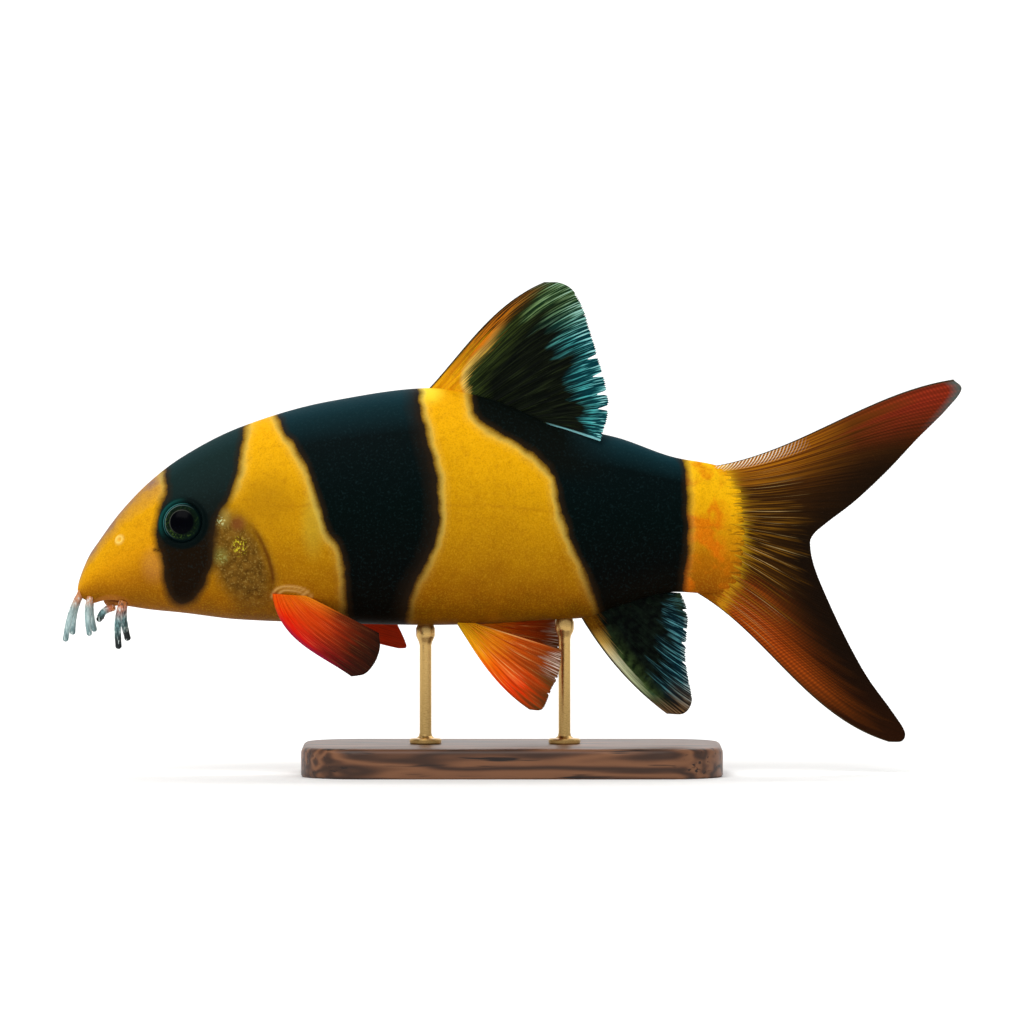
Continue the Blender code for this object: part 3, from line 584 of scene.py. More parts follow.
def apart(finish, along, height, width=1.0, tall=1.0):
    """How far a point is from a place on the flank, in the width and height given."""
    x = finish.math("DIVIDE", finish.math("SUBTRACT", "along", along), width)
    z = finish.math("DIVIDE", finish.math("SUBTRACT", "height", height), tall)
    return finish.math("SQRT", finish.math("ADD", finish.times(x, x), finish.times(z, z)))


def spot(finish, along, height, width, tall, share=1.0):
    """The share at a place on the flank, fading to 0 over the width and height given."""
    away = apart(finish, along, height, width, tall)
    return finish.add("ShaderNodeMapRange", away, 1.0, 0.2, 0.0, share,
                      interpolation_type="SMOOTHSTEP")


def gold_ground(finish):
    """Gold along the upper flank, darkening to brown towards the belly as painted shade, redder on
    snout and tail stalk.
    """
    blotch = finish.noise(6.0, 3.0, 0.6)
    mottle, fine = finish.noise(1.3, 2.0, 0.6), finish.noise(0.32, 2.0, 0.6)
    # painted shade: the gold darkens from the back down to the belly along the rise mark
    lit = finish.math("ADD", "rise", finish.span(blotch, 0.3, 0.7, -0.05, 0.05))
    flank = finish.ramp(
        lit, (0.0, (108, 64, 3)), (0.14, (144, 88, 3)), (0.36, (172, 118, 4)),
        (0.60, (200, 143, 4)), (0.84, (230, 166, 4)), (1.0, (238, 170, 8)),
    )
    snout = finish.ramp(
        lit, (0.0, (122, 72, 4)), (0.25, (160, 98, 5)), (0.5, (208, 140, 5)),
        (0.78, (218, 154, 8)), (0.92, (190, 138, 56)), (1.0, (144, 112, 96)),
    )
    stalk = finish.ramp(
        lit, (0.0, (140, 74, 3)), (0.25, (172, 100, 3)), (0.5, (210, 146, 6)),
        (0.75, (238, 176, 8)), (1.0, (246, 186, 16)),
    )
    rusty = finish.times(finish.span(blotch, 0.47, 0.60), finish.span("along", 131.0, 128.0), 0.8)
    return finish.coats(
        flank,
        (finish.span("along", 30.0, 15.0), snout),
        (finish.span("along", 112.0, 120.0), finish.mix(rusty, stalk, (214, 104, 4))),
        (finish.span(mottle, 0.5, 0.75, 0.0, 0.25), (146, 84, 3)),
        (finish.span(fine, 0.5, 0.3, 0.0, 0.24), (104, 62, 2)),
        (finish.span(fine, 0.5, 0.75, 0.0, 0.16), (252, 204, 50)),
    )


def gill_ground(finish, gold, fine):
    """Brown mottled gill covers with painted glints on a few spots, and a painted shadow in the cleft
    at the rear edge.
    """
    khaki = finish.coats(
        (58, 36, 8),
        (finish.span(finish.noise(1.4, 3.0, 0.6), 0.32, 0.66), (108, 76, 25)),
        (finish.span(fine, 0.54, 0.72, 0.0, 0.4), (166, 136, 66)),
    )
    gold = finish.mix(finish.times("gill", 0.9), gold, khaki)
    for place, paint in (
        ((38.0, 55.0, 9.0, 9.0, 0.35), (130, 84, 8)), ((32.4, 50.4, 2.2, 2.2, 0.7), (112, 58, 28)),
        ((29.4, 51.6, 2.2, 3.0, 0.4), (168, 150, 76)), ((28.8, 44.0, 2.6, 2.6, 0.35), (128, 130, 60)),
    ):
        gold = finish.mix(spot(finish, *place), gold, paint)
    # painted glints
    glints = finish.span(finish.noise(0.36, 1.0, 0.5), 0.54, 0.60, 0.0, 0.85)
    for place, paint in (
        ((28.7, 51.0, 1.4, 1.4), (232, 246, 178)), ((32.7, 45.9, 2.0, 2.6), (206, 194, 44)),
        ((28.9, 43.4, 1.8, 1.8, 0.6), (168, 170, 96)),
    ):
        gold = finish.mix(finish.times(glints, spot(finish, *place)), gold, paint)
    # painted shadow in the cleft under the gill cover's free edge
    return finish.mix(finish.times("cleft", 0.8), gold, (84, 38, 6))


def loach_skin():
    finish = Finish("loach_skin", Roughness=0.55, Specular_IOR_Level=0.02)
    fine = finish.noise(0.42, 1.0, 0.5)
    # the gold breaks into spikes over the roots of the tail's rays
    spikes = finish.noise(0.5, 2.0, 0.6, stretch=(0.10, 1.0, 1.0))
    spikes = finish.math("ADD", "along", finish.span(spikes, 0.35, 0.65, -2.2, 2.2))
    gold = finish.coats(
        gill_ground(finish, gold_ground(finish), fine),
        (spot(finish, 15.6, 42.0, 3.6, 5.0, 0.14), (206, 150, 96)),
        (spot(finish, 47.4, 50.4, 3.4, 9.0, 0.32), (172, 160, 50)),
        (spot(finish, 70.4, 77.0, 4.0, 4.0, 0.6), (255, 232, 56)),
        (finish.times("side_line", 0.25), (146, 84, 6)),
        (finish.times("fold", 0.42), (238, 190, 112)),
        (finish.times("lips", 0.5), (190, 116, 62)),
        (finish.span(spikes, 131.4, 134.2, 0.0, 0.85), (100, 66, 8)),
    )

    # bands, from their pale edge inward through brown to blue-black, with painted sheen towards the
    # back
    wander = finish.span(finish.noise(3.6, 1.0, 0.5), 0.25, 0.75, -0.3, 0.3)
    depth = finish.math("ADD", "depth", wander)
    depth = finish.math("ADD", depth, finish.span(fine, 0.3, 0.7, -0.08, 0.08))
    pale = finish.ramp(
        finish.span(depth, -2.0, 0.6), (0.0, (0, 0, 0)), (0.35, (80, 80, 80)),
        (0.66, (205, 205, 205)), (0.78, (205, 205, 205)), (1.0, (100, 100, 100)),
    )
    above_cheek = finish.math("MAXIMUM", finish.span("along", 38.0, 42.0),
                              finish.span("height", 54.0, 59.0))
    pale = finish.times(pale, finish.span("rise", 0.02, 0.45, 0.12, 0.75), above_cheek,
                        finish.span("along", 116.0, 120.0, 1.0, 0.3))
    # painted sheen: the band turns blue-green towards the back, on the head's band too
    flank = finish.ramp(
        "rise", (0.0, (12, 8, 3)), (0.22, (3, 5, 4)), (0.5, (1, 9, 8)), (0.82, (3, 13, 14)),
        (0.93, (10, 36, 41)), (1.0, (15, 50, 58)),
    )
    # painted shade under the dorsal fin, where the sheen is left off
    shaded = finish.times(finish.span("along", 74.0, 80.0), finish.span("along", 108.0, 97.0),
                          finish.span("rise", 0.70, 0.80))
    cheek = finish.ramp(
        "rise", (0.0, (24, 12, 3)), (0.40, (22, 13, 4)), (0.58, (13, 18, 15)), (0.75, (18, 32, 31)),
        (0.9, (20, 38, 37)), (1.0, (26, 50, 52)),
    )
    band = finish.coats(
        flank,
        (shaded, (7, 11, 8)),
        (finish.span("along", 38.0, 33.0), cheek),
        (finish.span(fine, 0.55, 0.75, 0.0, 0.06), (60, 96, 100)),
    )
    behind = finish.times(finish.span(depth, 4.2, 1.2), finish.span("along", 60.0, 64.0),
                          finish.span("along", 76.0, 74.0), 0.65)
    inner = finish.coats((42, 28, 13), (finish.span(depth, 0.3, 2.1), band), (behind, (34, 24, 15)))
    colour = finish.coats(
        gold,
        (pale, (222, 198, 96)),
        (finish.span(depth, -0.7, 0.9), inner),
        (finish.times("rim", 0.95), (4, 14, 14)),
        # painted highlight on the front of the fold round the eye
        (finish.times("lit", 0.9), (11, 66, 62)),
        # painted shade in the mouth's line between the lips
        ("mouth", (70, 30, 14)),
        (finish.times("ring", 0.9), (255, 216, 110)),
        (finish.times("pit", 0.9), (250, 206, 84)),
        # painted shade in the slit below the eye
        ("slit", (48, 26, 8)),
    )
    scales = finish.add("ShaderNodeTexCoord", out=3)
    scales = finish.add("ShaderNodeTexVoronoi", scales, feed={"Scale": 1 / (0.55 * MM)})
    skin = finish.bump(finish.noise(1.1, 2.0, 0.6), 0.05, finish.bump(scales, 0.02))
    finish.feed(Base_Color=colour, Normal=skin)
    return finish.material


piece = body_skin()
piece.data.materials.append(loach_skin())
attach(piece, "root")
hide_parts("head", "gill_cover_left", "gill_cover_right", "trunk", "tail_stalk")


# Each eye is a domed glass button, painted from behind with a black pupil in a dark green iris
# and a blue-green outer ring. It is set in its socket, under the fold of skin round it.


def eye_glass():
    finish = Finish("painted_eye", Roughness=0.2, Specular_IOR_Level=0.02)
    fibres = finish.noise(0.45, 2.0, 0.6)
    colour = finish.ramp(
        finish.span("away", 0.0, 5.0), (0.0, (1, 1, 4)), (0.465, (1, 2, 5)), (0.50, (7, 16, 10)),
        (0.67, (8, 24, 16)), (0.72, (3, 14, 15)), (0.90, (4, 20, 22)), (1.0, (4, 16, 18)),
    )
    # fine green-gold specks in the iris, most of them below the pupil
    iris = finish.times(finish.span("away", 2.45, 2.8), finish.span("away", 3.5, 3.2))
    specks = finish.times(iris, finish.span(fibres, 0.50, 0.64),
                          finish.span("low", -0.2, 0.8, 0.1, 0.6))
    # painted highlights and reflections: the ring brightened in front with a bright arc on it, and
    # thin grey arcs round the iris and the pupil
    glow = finish.times(finish.span("away", 3.5, 3.95), finish.span("front", 0.1, 0.98), 0.85)
    colour = finish.coats(colour, (specks, (70, 96, 34)), (glow, (12, 66, 62)))
    for inside, middle, outside, start, full, share, paint in (
        (3.35, 3.48, 3.62, -0.2, 0.9, 0.55, (112, 142, 140)),
        (3.80, 3.88, 3.96, 0.2, 0.95, 0.5, (110, 190, 188)),
        (2.30, 2.42, 2.54, -0.4, 0.8, 0.3, (120, 124, 112)),
    ):
        arc = finish.times(finish.span("away", inside, middle), finish.span("away", outside, middle))
        arc = finish.times(arc, finish.span("front", start, full, 0.0, share))
        colour = finish.mix(arc, colour, paint)
    finish.feed(Base_Color=colour)
    return finish.material


eye_finish = eye_glass()
for side, word in ((-1, "left"), (1, "right")):
    centre, ahead, upright, out = eye_axes(side)
    sides, tilts = 96, np.linspace(0.02, math.pi - 0.02, 64)
    around = np.linspace(0, 2 * math.pi, sides, endpoint=False)[None, :, None]
    tilt = tilts[:, None, None]
    rings = centre + EYE_DEPTH * np.cos(tilt) * out + EYE_RADIUS * np.sin(tilt) * (
        np.cos(around) * ahead + np.sin(around) * upright
    )
    away = np.where(tilts > math.pi / 2, EYE_RADIUS, EYE_RADIUS * np.sin(tilts))
    front = np.tile(np.cos(around.ravel() - math.radians(32)), len(tilts))
    low = np.tile(np.cos(around.ravel() + math.radians(50)), len(tilts))
    points, faces = hoops(rings)
    points[:, 0] += SNOUT_X
    marks = {
        "away": np.append(np.repeat(away, sides), (0, 5)), "front": np.append(front, (0, 0)),
        "low": np.append(low, (0, 0)),
    }
    piece = solid("eyeball_" + word, points * MM, faces, marks)
    piece.data.materials.append(eye_finish)
    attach(piece, "root")
    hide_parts("eye_" + word)


# The barbels are soft feelers round the mouth, cast in tinted resin: three short pairs hang
# from the snout and the corners of the mouth, and a stub pair from the lower lip.

BARBELS = {  # root, left tip and right tip as (behind the snout, out, height), root radius
    "barbel_rostral_front": ((0.9, 1.2, 36.6), (-2.3, 2.6, 27.0), (-1.1, 2.6, 28.2), 0.7),
    "barbel_rostral_rear": ((2.8, 2.7, 36.0), (2.5, 4.0, 28.2), (3.2, 4.2, 28.7), 0.68),
    "barbel_maxillary": ((9.2, 4.2, 34.6), (8.4, 5.8, 25.7), (9.8, 6.0, 26.9), 0.8),
    "barbel_mandibular": ((7.2, 2.3, 33.4), (4.4, 2.6, 31.0), (4.6, 2.6, 31.2), 0.75),
}
BARBEL_TIP = 0.8  # the tip's radius as a share of the root's
BARBEL_BOW = np.array((-0.5, 0.4, 0.3))


def barbel(name, side, root, tip, radius):
    steps, sides = 40, 20
    t = np.linspace(0, 1, steps)
    path = np.array(root) + (np.array(tip) - root) * t[:, None]
    path += BARBEL_BOW * np.sin(math.pi * t)[:, None]
    path[:, 1] *= side
    radii = radius * (1 + (BARBEL_TIP - 1) * t) * (1 + 0.02 * np.sin(t * 40))
    ahead = np.gradient(path, axis=0)
    ahead /= np.linalg.norm(ahead, axis=1, keepdims=True)
    across = np.cross(ahead, (0.0, 1.0, 0.2))
    across /= np.linalg.norm(across, axis=1, keepdims=True)
    other = np.cross(ahead, across)
    tip_turns = (0.4, 0.8, 1.1, 1.4)  # the rounded end
    for turn in tip_turns:
        end = radii[steps - 1]
        path = np.vstack([path, path[steps - 1] + ahead[-1] * end * 0.8 * math.sin(turn)])
        radii = np.append(radii, end * math.cos(turn))
        across, other = np.vstack([across, across[-1]]), np.vstack([other, other[-1]])
    around = np.linspace(0, 2 * math.pi, sides, endpoint=False)[None, :, None]
    rings = path[:, None] + radii[:, None, None] * (
        np.cos(around) * across[:, None] + np.sin(around) * other[:, None]
    )
    out = np.repeat(np.append(t, [1] * len(tip_turns)), sides)
    points, faces = hoops(rings)
    points[:, 0] += SNOUT_X
    return solid(name, points * MM, faces, {"out": np.append(out, (0, 1))})


def barbel_resin(name, tip_share):
    """Blue-grey resin, or with a share of 1 the grey that darkens to black tips."""
    finish = Finish(name, Roughness=0.35, Specular_IOR_Level=0.2)
    streaked = finish.noise(0.7, 2.0, 0.6, stretch=(1.6, 1.6, 0.5))
    grey = finish.ramp(
        "out", (0.0, (206, 124, 40)), (0.16, (196, 120, 84)), (0.32, (150, 128, 122)),
        (0.50, (112, 150, 152)), (0.72, (70, 98, 98)), (0.88, (26, 32, 32)), (1.0, (6, 8, 8)),
    )
    blue = finish.ramp(
        "out", (0.0, (206, 130, 50)), (0.2, (196, 140, 108)), (0.4, (150, 168, 166)),
        (0.7, (166, 192, 192)), (1.0, (104, 132, 134)),
    )
    finish.feed(Base_Color=finish.coats(
        blue,
        (tip_share, grey),
        (finish.span(streaked, 0.5, 0.62, 0.0, 0.35 + 0.45 * tip_share), (34, 42, 44)),
        (finish.span(streaked, 0.45, 0.34, 0.0, 0.7), (206, 220, 216)),
    ))
    return finish.material


snout_finish, mouth_finish = barbel_resin("barbel_blue", 0.0), barbel_resin("barbel_grey", 1.0)
for kind, (root, left_tip, right_tip, radius) in BARBELS.items():
    for side, word, tip in ((-1, "left", left_tip), (1, "right", right_tip)):
        piece = barbel(f"{kind}_{word}_soft", side, root, tip, radius)
        piece.data.materials.append(snout_finish if "rostral" in kind else mouth_finish)
        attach(piece, "root")
        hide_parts(f"{kind}_{word}")


# The dorsal fin is a thin web cast over two plain leading rays and nine that divide again and
# again and end in brushes along the rear edge. Its foot is let into a groove in the back, and
# its last ray lies down over the left flank.

SINK = 1.8  # how far each fin's foot is set into the flesh
dice = np.random.default_rng(7)


def ray_ridges(across, out, plain, shift=0.0):
    """Height of the rays, 0 to 1, from the place across one ray and the way out along it."""
    out = out + shift
    forks = [
        np.where(plain, 0.0, size * ease(out, start, end))
        for size, start, end in ((0.25, 0.24, 0.52), (0.125, 0.5, 0.76), (0.0625, 0.74, 0.96))
    ]
    slim = 0.21 - 0.10 * ease(out, 0.24, 0.46) - 0.052 * ease(out, 0.5, 0.7)
    slim = np.where(plain, 0.19 - 0.07 * out, slim - 0.022 * ease(out, 0.74, 0.9))
    ridge = np.zeros(np.broadcast(across, out).shape)
    for one in (-1, 1):
        for two in (-1, 1):
            for three in (-1, 1):
                middle = 0.5 + one * forks[0] + two * forks[1] + three * forks[2]
                ridge = np.maximum(ridge, bell(across - middle, slim))
    return ridge


def fin(name, base, margin, bows, rays, sideways, end_bows=None, plain_rays=1, rows=60,
        per_ray=32, web=0.22, root_web=0.5, ray_thick=0.5, brush=0.5, notches=(), notch_deep=2.2,
        band=False):
    """A rayed fin as one closed sheet; base and margin run from the leading to the last ray.
    Bows bend the leading ray, and end_bows the last one of a fin that leads at both ends.
    Sideways gives the sheet's Y from the place, the share of the way out along the rays and
    the share of the way back from the leading one."""
    columns = per_ray * rays + 1
    u = np.arange(columns) / per_ray
    which = np.clip(np.ceil(u - 1e-9).astype(int) - 1, 0, rays - 1)
    across = (u - which)[:, None]
    plain = which < plain_rays
    if end_bows:
        plain |= which >= rays - plain_rays
    plain = plain[:, None]
    shift = dice.uniform(-0.06, 0.06, rays)[which][:, None]
    roots, tips = curve_through(base, columns), curve_through(margin, columns)
    chord = tips - roots
    length = np.linalg.norm(chord, axis=1)
    lean = np.column_stack([-chord[:, 1], chord[:, 0]]) / length[:, None]
    lead = np.arange(columns) / (columns - 1)
    ends = 2 if end_bows else 1
    fade = (np.clip(1 - ends * lead, 0, 1) ** 1.5)[:, None]
    end_fade = (np.clip(ends * lead - 1, 0, 1) ** 1.5)[:, None]
    bends = [roots]
    for place, bow, end_bow in zip((1, 2), bows, end_bows or (0, 0)):
        bends.append(roots + chord * place / 3 + lean * (bow * fade + end_bow * end_fade))
    # the web falls back between the ends of the rays, as brushes
    between = 1 - ray_ridges(across, np.ones((1, 1)), plain)[:, 0]
    cut = np.where(plain[:, 0], 0.0, brush * between * dice.uniform(0.3, 1.0, rays * 8 + 1)[
        (u * 8).astype(int)])
    for place, width in notches:
        cut = np.maximum(cut, notch_deep * bell(u - place, width))
    t = np.linspace(0, 1, rows + 1)[None, :] * (1 - cut / length)[:, None]
    parts = ((1 - t) ** 3, 3 * (1 - t) ** 2 * t, 3 * (1 - t) * t * t, t**3)
    flat = sum(part[:, :, None] * bend[:, None] for part, bend in zip(parts, bends + [tips]))
    lead = np.broadcast_to(lead[:, None], t.shape)
    y = np.broadcast_to(sideways(flat[:, :, 0], flat[:, :, 1], t, lead), t.shape)
    sheet = np.stack([flat[:, :, 0], y, flat[:, :, 1]], axis=2)
    ridge = ray_ridges(across, t, plain, shift)
    thick = web * (1 - 0.5 * t) + root_web * (1 - t) ** 3 + ridge * ray_thick * (1 - 0.8 * t)
    thick = thick * ease(np.minimum(u, rays - u), -0.06, 0.12)[:, None]
    normal = np.cross(np.gradient(sheet, axis=0), np.gradient(sheet, axis=1))
    normal /= np.maximum(np.linalg.norm(normal, axis=2, keepdims=True), 1e-9)
    half = normal * thick[:, :, None] / 2
    points = np.concatenate([(sheet + half).reshape(-1, 3), (sheet - half).reshape(-1, 3)])
    points[:, 0] += SNOUT_X
    index = np.arange(columns * (rows + 1)).reshape(columns, rows + 1)
    other = index.size
    quads = np.stack([index[:-1, :-1], index[1:, :-1], index[1:, 1:], index[:-1, 1:]], axis=-1)
    quads = quads.reshape(-1, 4)
    border = np.concatenate([index[:, 0], index[-1, 1:], index[-2::-1, -1], index[0, -2:0:-1]])
    follow = np.roll(border, -1)
    edge = np.stack([border, border + other, follow + other, follow], axis=-1)
    faces = np.vstack([quads, quads[:, ::-1] + other, edge]).tolist()
    marks = {
        "ray": ridge, "out": t, "lead": lead, "count": lead * rays, "far": t * length[:, None],
        "along": flat[:, :, 0], "height": flat[:, :, 1],
        "rise": rise_at(flat[:, :, 0], flat[:, :, 1]),
    }
    if band:
        marks["depth"] = depth_in_bands(flat[:, :, 0], flat[:, :, 1])
    marks = {key: np.tile(np.asarray(value).ravel(), 2) for key, value in marks.items()}
    return solid(name, points * MM, faces, marks)


def streaks(finish, across, along, detail=2.0):
    """Noise drawn out along the rays: grains per ray across them, and grains in their length."""
    place = finish.add("ShaderNodeCombineXYZ", finish.times("count", across),
                       finish.times("out", along))
    return finish.add("ShaderNodeTexNoise", place, feed={"Scale": 1.0, "Detail": detail})


def waved(finish, value, noise, swing):
    """A value shifted up and down by some noise."""
    return finish.math("ADD", value, finish.span(noise, 0.3, 0.7, -swing, swing))


def joints(finish, size):
    """Fine cross joints along the rays, 0 to 1."""
    turns = finish.times("far", 2 * math.pi / size)
    return finish.span(finish.math("SINE", turns), -1, 1)


def webbed(finish, colour, glow, joint=0.5, raised=0.01):
    """Finishes a fin: its colour, the joints raised along its rays, and the share of the light on
    one face that glows through to the other."""
    finish.feed(Base_Color=colour, Normal=finish.bump(joints(finish, joint), raised))
    through = finish.add("ShaderNodeBsdfTranslucent", colour)
    mixed = finish.add("ShaderNodeMixShader", glow, finish.shader.outputs[0], through)
    finish.tree.links.new(mixed, finish.tree.nodes["Material Output"].inputs["Surface"])
    return finish.material


def dorsal_web():
    finish = Finish("dorsal_web", Roughness=0.55, Specular_IOR_Level=0.03)
    long, fine = streaks(finish, 1.3, 2.0), streaks(finish, 10.0, 3.4, 3.0)
    stroke = finish.span(fine, 0.47, 0.62)
    # the leading rays go from the body's gold to streaked brown on the way up
    brown = finish.mix(finish.span(fine, 0.45, 0.58), (50, 26, 6), (210, 120, 18))
    brown = finish.mix(finish.span("out", 0.6, 1.0), brown, (52, 44, 20))
    gold = finish.coats(
        gold_ground(finish),
        (finish.span(waved(finish, "out", fine, 0.30), 0.06, 0.46), brown),
        (finish.times(finish.span("depth", -1.2, -0.4), finish.span("out", 0.62, 0.2), 0.6),
         (236, 208, 112)),
        (finish.span("lead", 0.022, 0.006), (44, 34, 20)),
    )
    # green-black inside, greener beside the gold and at the tip, blue-green along the rear edge
    mossy = finish.mix(stroke, (30, 42, 13), (78, 94, 38))
    olive = finish.mix(stroke, (20, 48, 24), (118, 150, 96))
    teal = finish.mix(finish.span(fine, 0.50, 0.62), (3, 54, 62), (80, 192, 192))
    tips = finish.times(finish.span(waved(finish, "out", long, 0.08), 0.86, 1.0),
                        finish.span(fine, 0.54, 0.64), finish.span("lead", 0.12, 0.4, 0.3, 0.85))
    # the last ray is a pale line
    last = finish.times(finish.math("SUBTRACT", 1.0, "lead"), finish.span("out", 0.0, 1.0, 0.2, 1.0))
    last = finish.times(finish.span(last, 0.014, 0.008), finish.span("out", 0.04, 0.12), 0.85)
    dark = finish.coats(
        (5, 9, 5),
        (finish.times(stroke, finish.span("ray", 0.1, 0.9, 0.35, 0.9)), (30, 38, 18)),
        (finish.times(finish.span("depth", 5.2, 0.4), 0.7), mossy),
        (finish.span(waved(finish, "out", long, 0.14), 0.67, 0.94),
         finish.mix(finish.span("lead", 0.42, 0.20), teal, olive)),
        (tips, (190, 232, 230)),
        (last, (140, 206, 210)),
    )
    colour = finish.mix(finish.span(waved(finish, "depth", fine, 0.9), -0.6, 0.9), gold, dark)
    return webbed(finish, colour, 0.12)


def drooping(along, height, out, lead):
    """Lays the fin's rear lower corner over the left flank."""
    return -ease(lead, 0.74, 1.0) * (1.4 + 2.4 * out)


base = [
    (a, float(back_line(a)) - SINK * (1 - 0.7 * float(ease(a, 86.0, 94.4))))
    for a in np.linspace(68.6, 94.4, 7)
]
margin = [
    (93.4, 98.4), (96.6, 98.2), (99.2, 96.6), (101.2, 93.0),
    (102.8, 88.0), (104.4, 82.6), (105.8, 77.4), (106.2, 72.6), (104.6, 66.6),
]
piece = fin("dorsal_fin_web", base, margin, (0.4, 4.2), 11, drooping, plain_rays=2, band=True,
            notches=((5.9, 0.09), (7.0, 0.10), (8.1, 0.10), (9.0, 0.12)))
piece.data.materials.append(dorsal_web())
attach(piece, "root")
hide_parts("dorsal_fin")


# The anal fin is made like the dorsal and let into the belly behind the vent: two plain rays in
# front, pale green-gold, then six divided ones, blue-black with grey-blue brushes.


def anal_web():
    finish = Finish("anal_web", Roughness=0.55, Specular_IOR_Level=0.03)
    long, fine = streaks(finish, 1.5, 2.0), streaks(finish, 10.0, 3.0, 3.0)
    cloud = finish.noise(1.6, 3.0, 0.6)
    # the body's gold at the front root runs out into a pale strip along the leading ray
    strip = finish.ramp(
        "out", (0.0, (190, 130, 20)), (0.28, (242, 196, 96)), (0.46, (244, 240, 196)),
        (0.66, (222, 234, 180)), (0.86, (112, 128, 78)), (1.0, (46, 42, 24)),
    )
    strip = finish.mix(finish.span(fine, 0.5, 0.36, 0.0, 0.28), strip, (62, 74, 30))
    gold = finish.coats(
        gold_ground(finish),
        (finish.span("out", 0.16, 0.34), strip),
        (finish.span("lead", 0.03, 0.01), (60, 52, 34)),
    )
    # green-black inside, mossy beside the strip, with grey-blue brushes along the rear edge
    mossy = finish.mix(finish.span(cloud, 0.35, 0.65), (24, 40, 14), (78, 100, 50))
    grey = finish.mix(finish.span(fine, 0.51, 0.62), (3, 32, 42), (84, 150, 158))
    dark = finish.coats(
        (3, 6, 5),
        (finish.times(finish.span(cloud, 0.4, 0.65), 0.7), (20, 32, 22)),
        (finish.times(finish.span("depth", 3.6, 0.2), finish.span("out", 0.15, 0.45), 0.8), mossy),
        (finish.times(finish.span(waved(finish, "out", long, 0.16), 0.60, 0.92),
                      finish.span("depth", 2.0, 5.0, 0.3, 1.0)), grey),
        (finish.times(finish.span("out", 0.92, 1.0), finish.span(fine, 0.50, 0.60), 0.9),
         (206, 222, 220)),
    )
    dusk = finish.mix(finish.span(fine, 0.42, 0.58), (28, 20, 12), (128, 98, 66))
    colour = finish.coats(
        gold,
        (finish.span(waved(finish, "depth", fine, 0.8), -0.8, 1.0), dark),
        (finish.times(finish.span("lead", 0.34, 0.14), finish.span("out", 0.78, 0.95)), dusk),
    )
    return webbed(finish, colour, 0.12)


def level(along, height, out, lead):
    """Keeps the fin in the fish's middle plane."""
    return 0.0


base = [(a, float(belly_line(a)) + SINK) for a in np.linspace(99.8, 112.6, 5)]
margin = [
    (117.9, 12.0), (121.3, 12.1), (122.9, 14.7), (122.2, 19.6),
    (121.7, 24.0), (122.1, 29.0), (122.0, 33.0), (120.8, 36.2),
]
piece = fin("anal_fin_web", base, margin, (-1.8, -2.1), 8, level, plain_rays=2, notch_deep=1.1,
            band=True, notches=((3.9, 0.07), (5.0, 0.09), (5.8, 0.07), (6.9, 0.09)))
piece.data.materials.append(anal_web())
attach(piece, "root")
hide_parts("anal_fin")


# The tail fin is a deep fork with nine rays in each lobe, cast in one sheet. The rays leave the
# tail stalk in gold, and the web darkens through olive brown to rust at the upper tip, brown
# at the lower one and nearly black along the rear edge.

TAIL_SWAY = 1.6
FAN_ALONG, FAN_HEIGHT = 104.0, 48.0  # where the tail's rays would meet if they ran on forward
FAN_TO_FLESH = 28.4  # from there to the flesh's rear edge


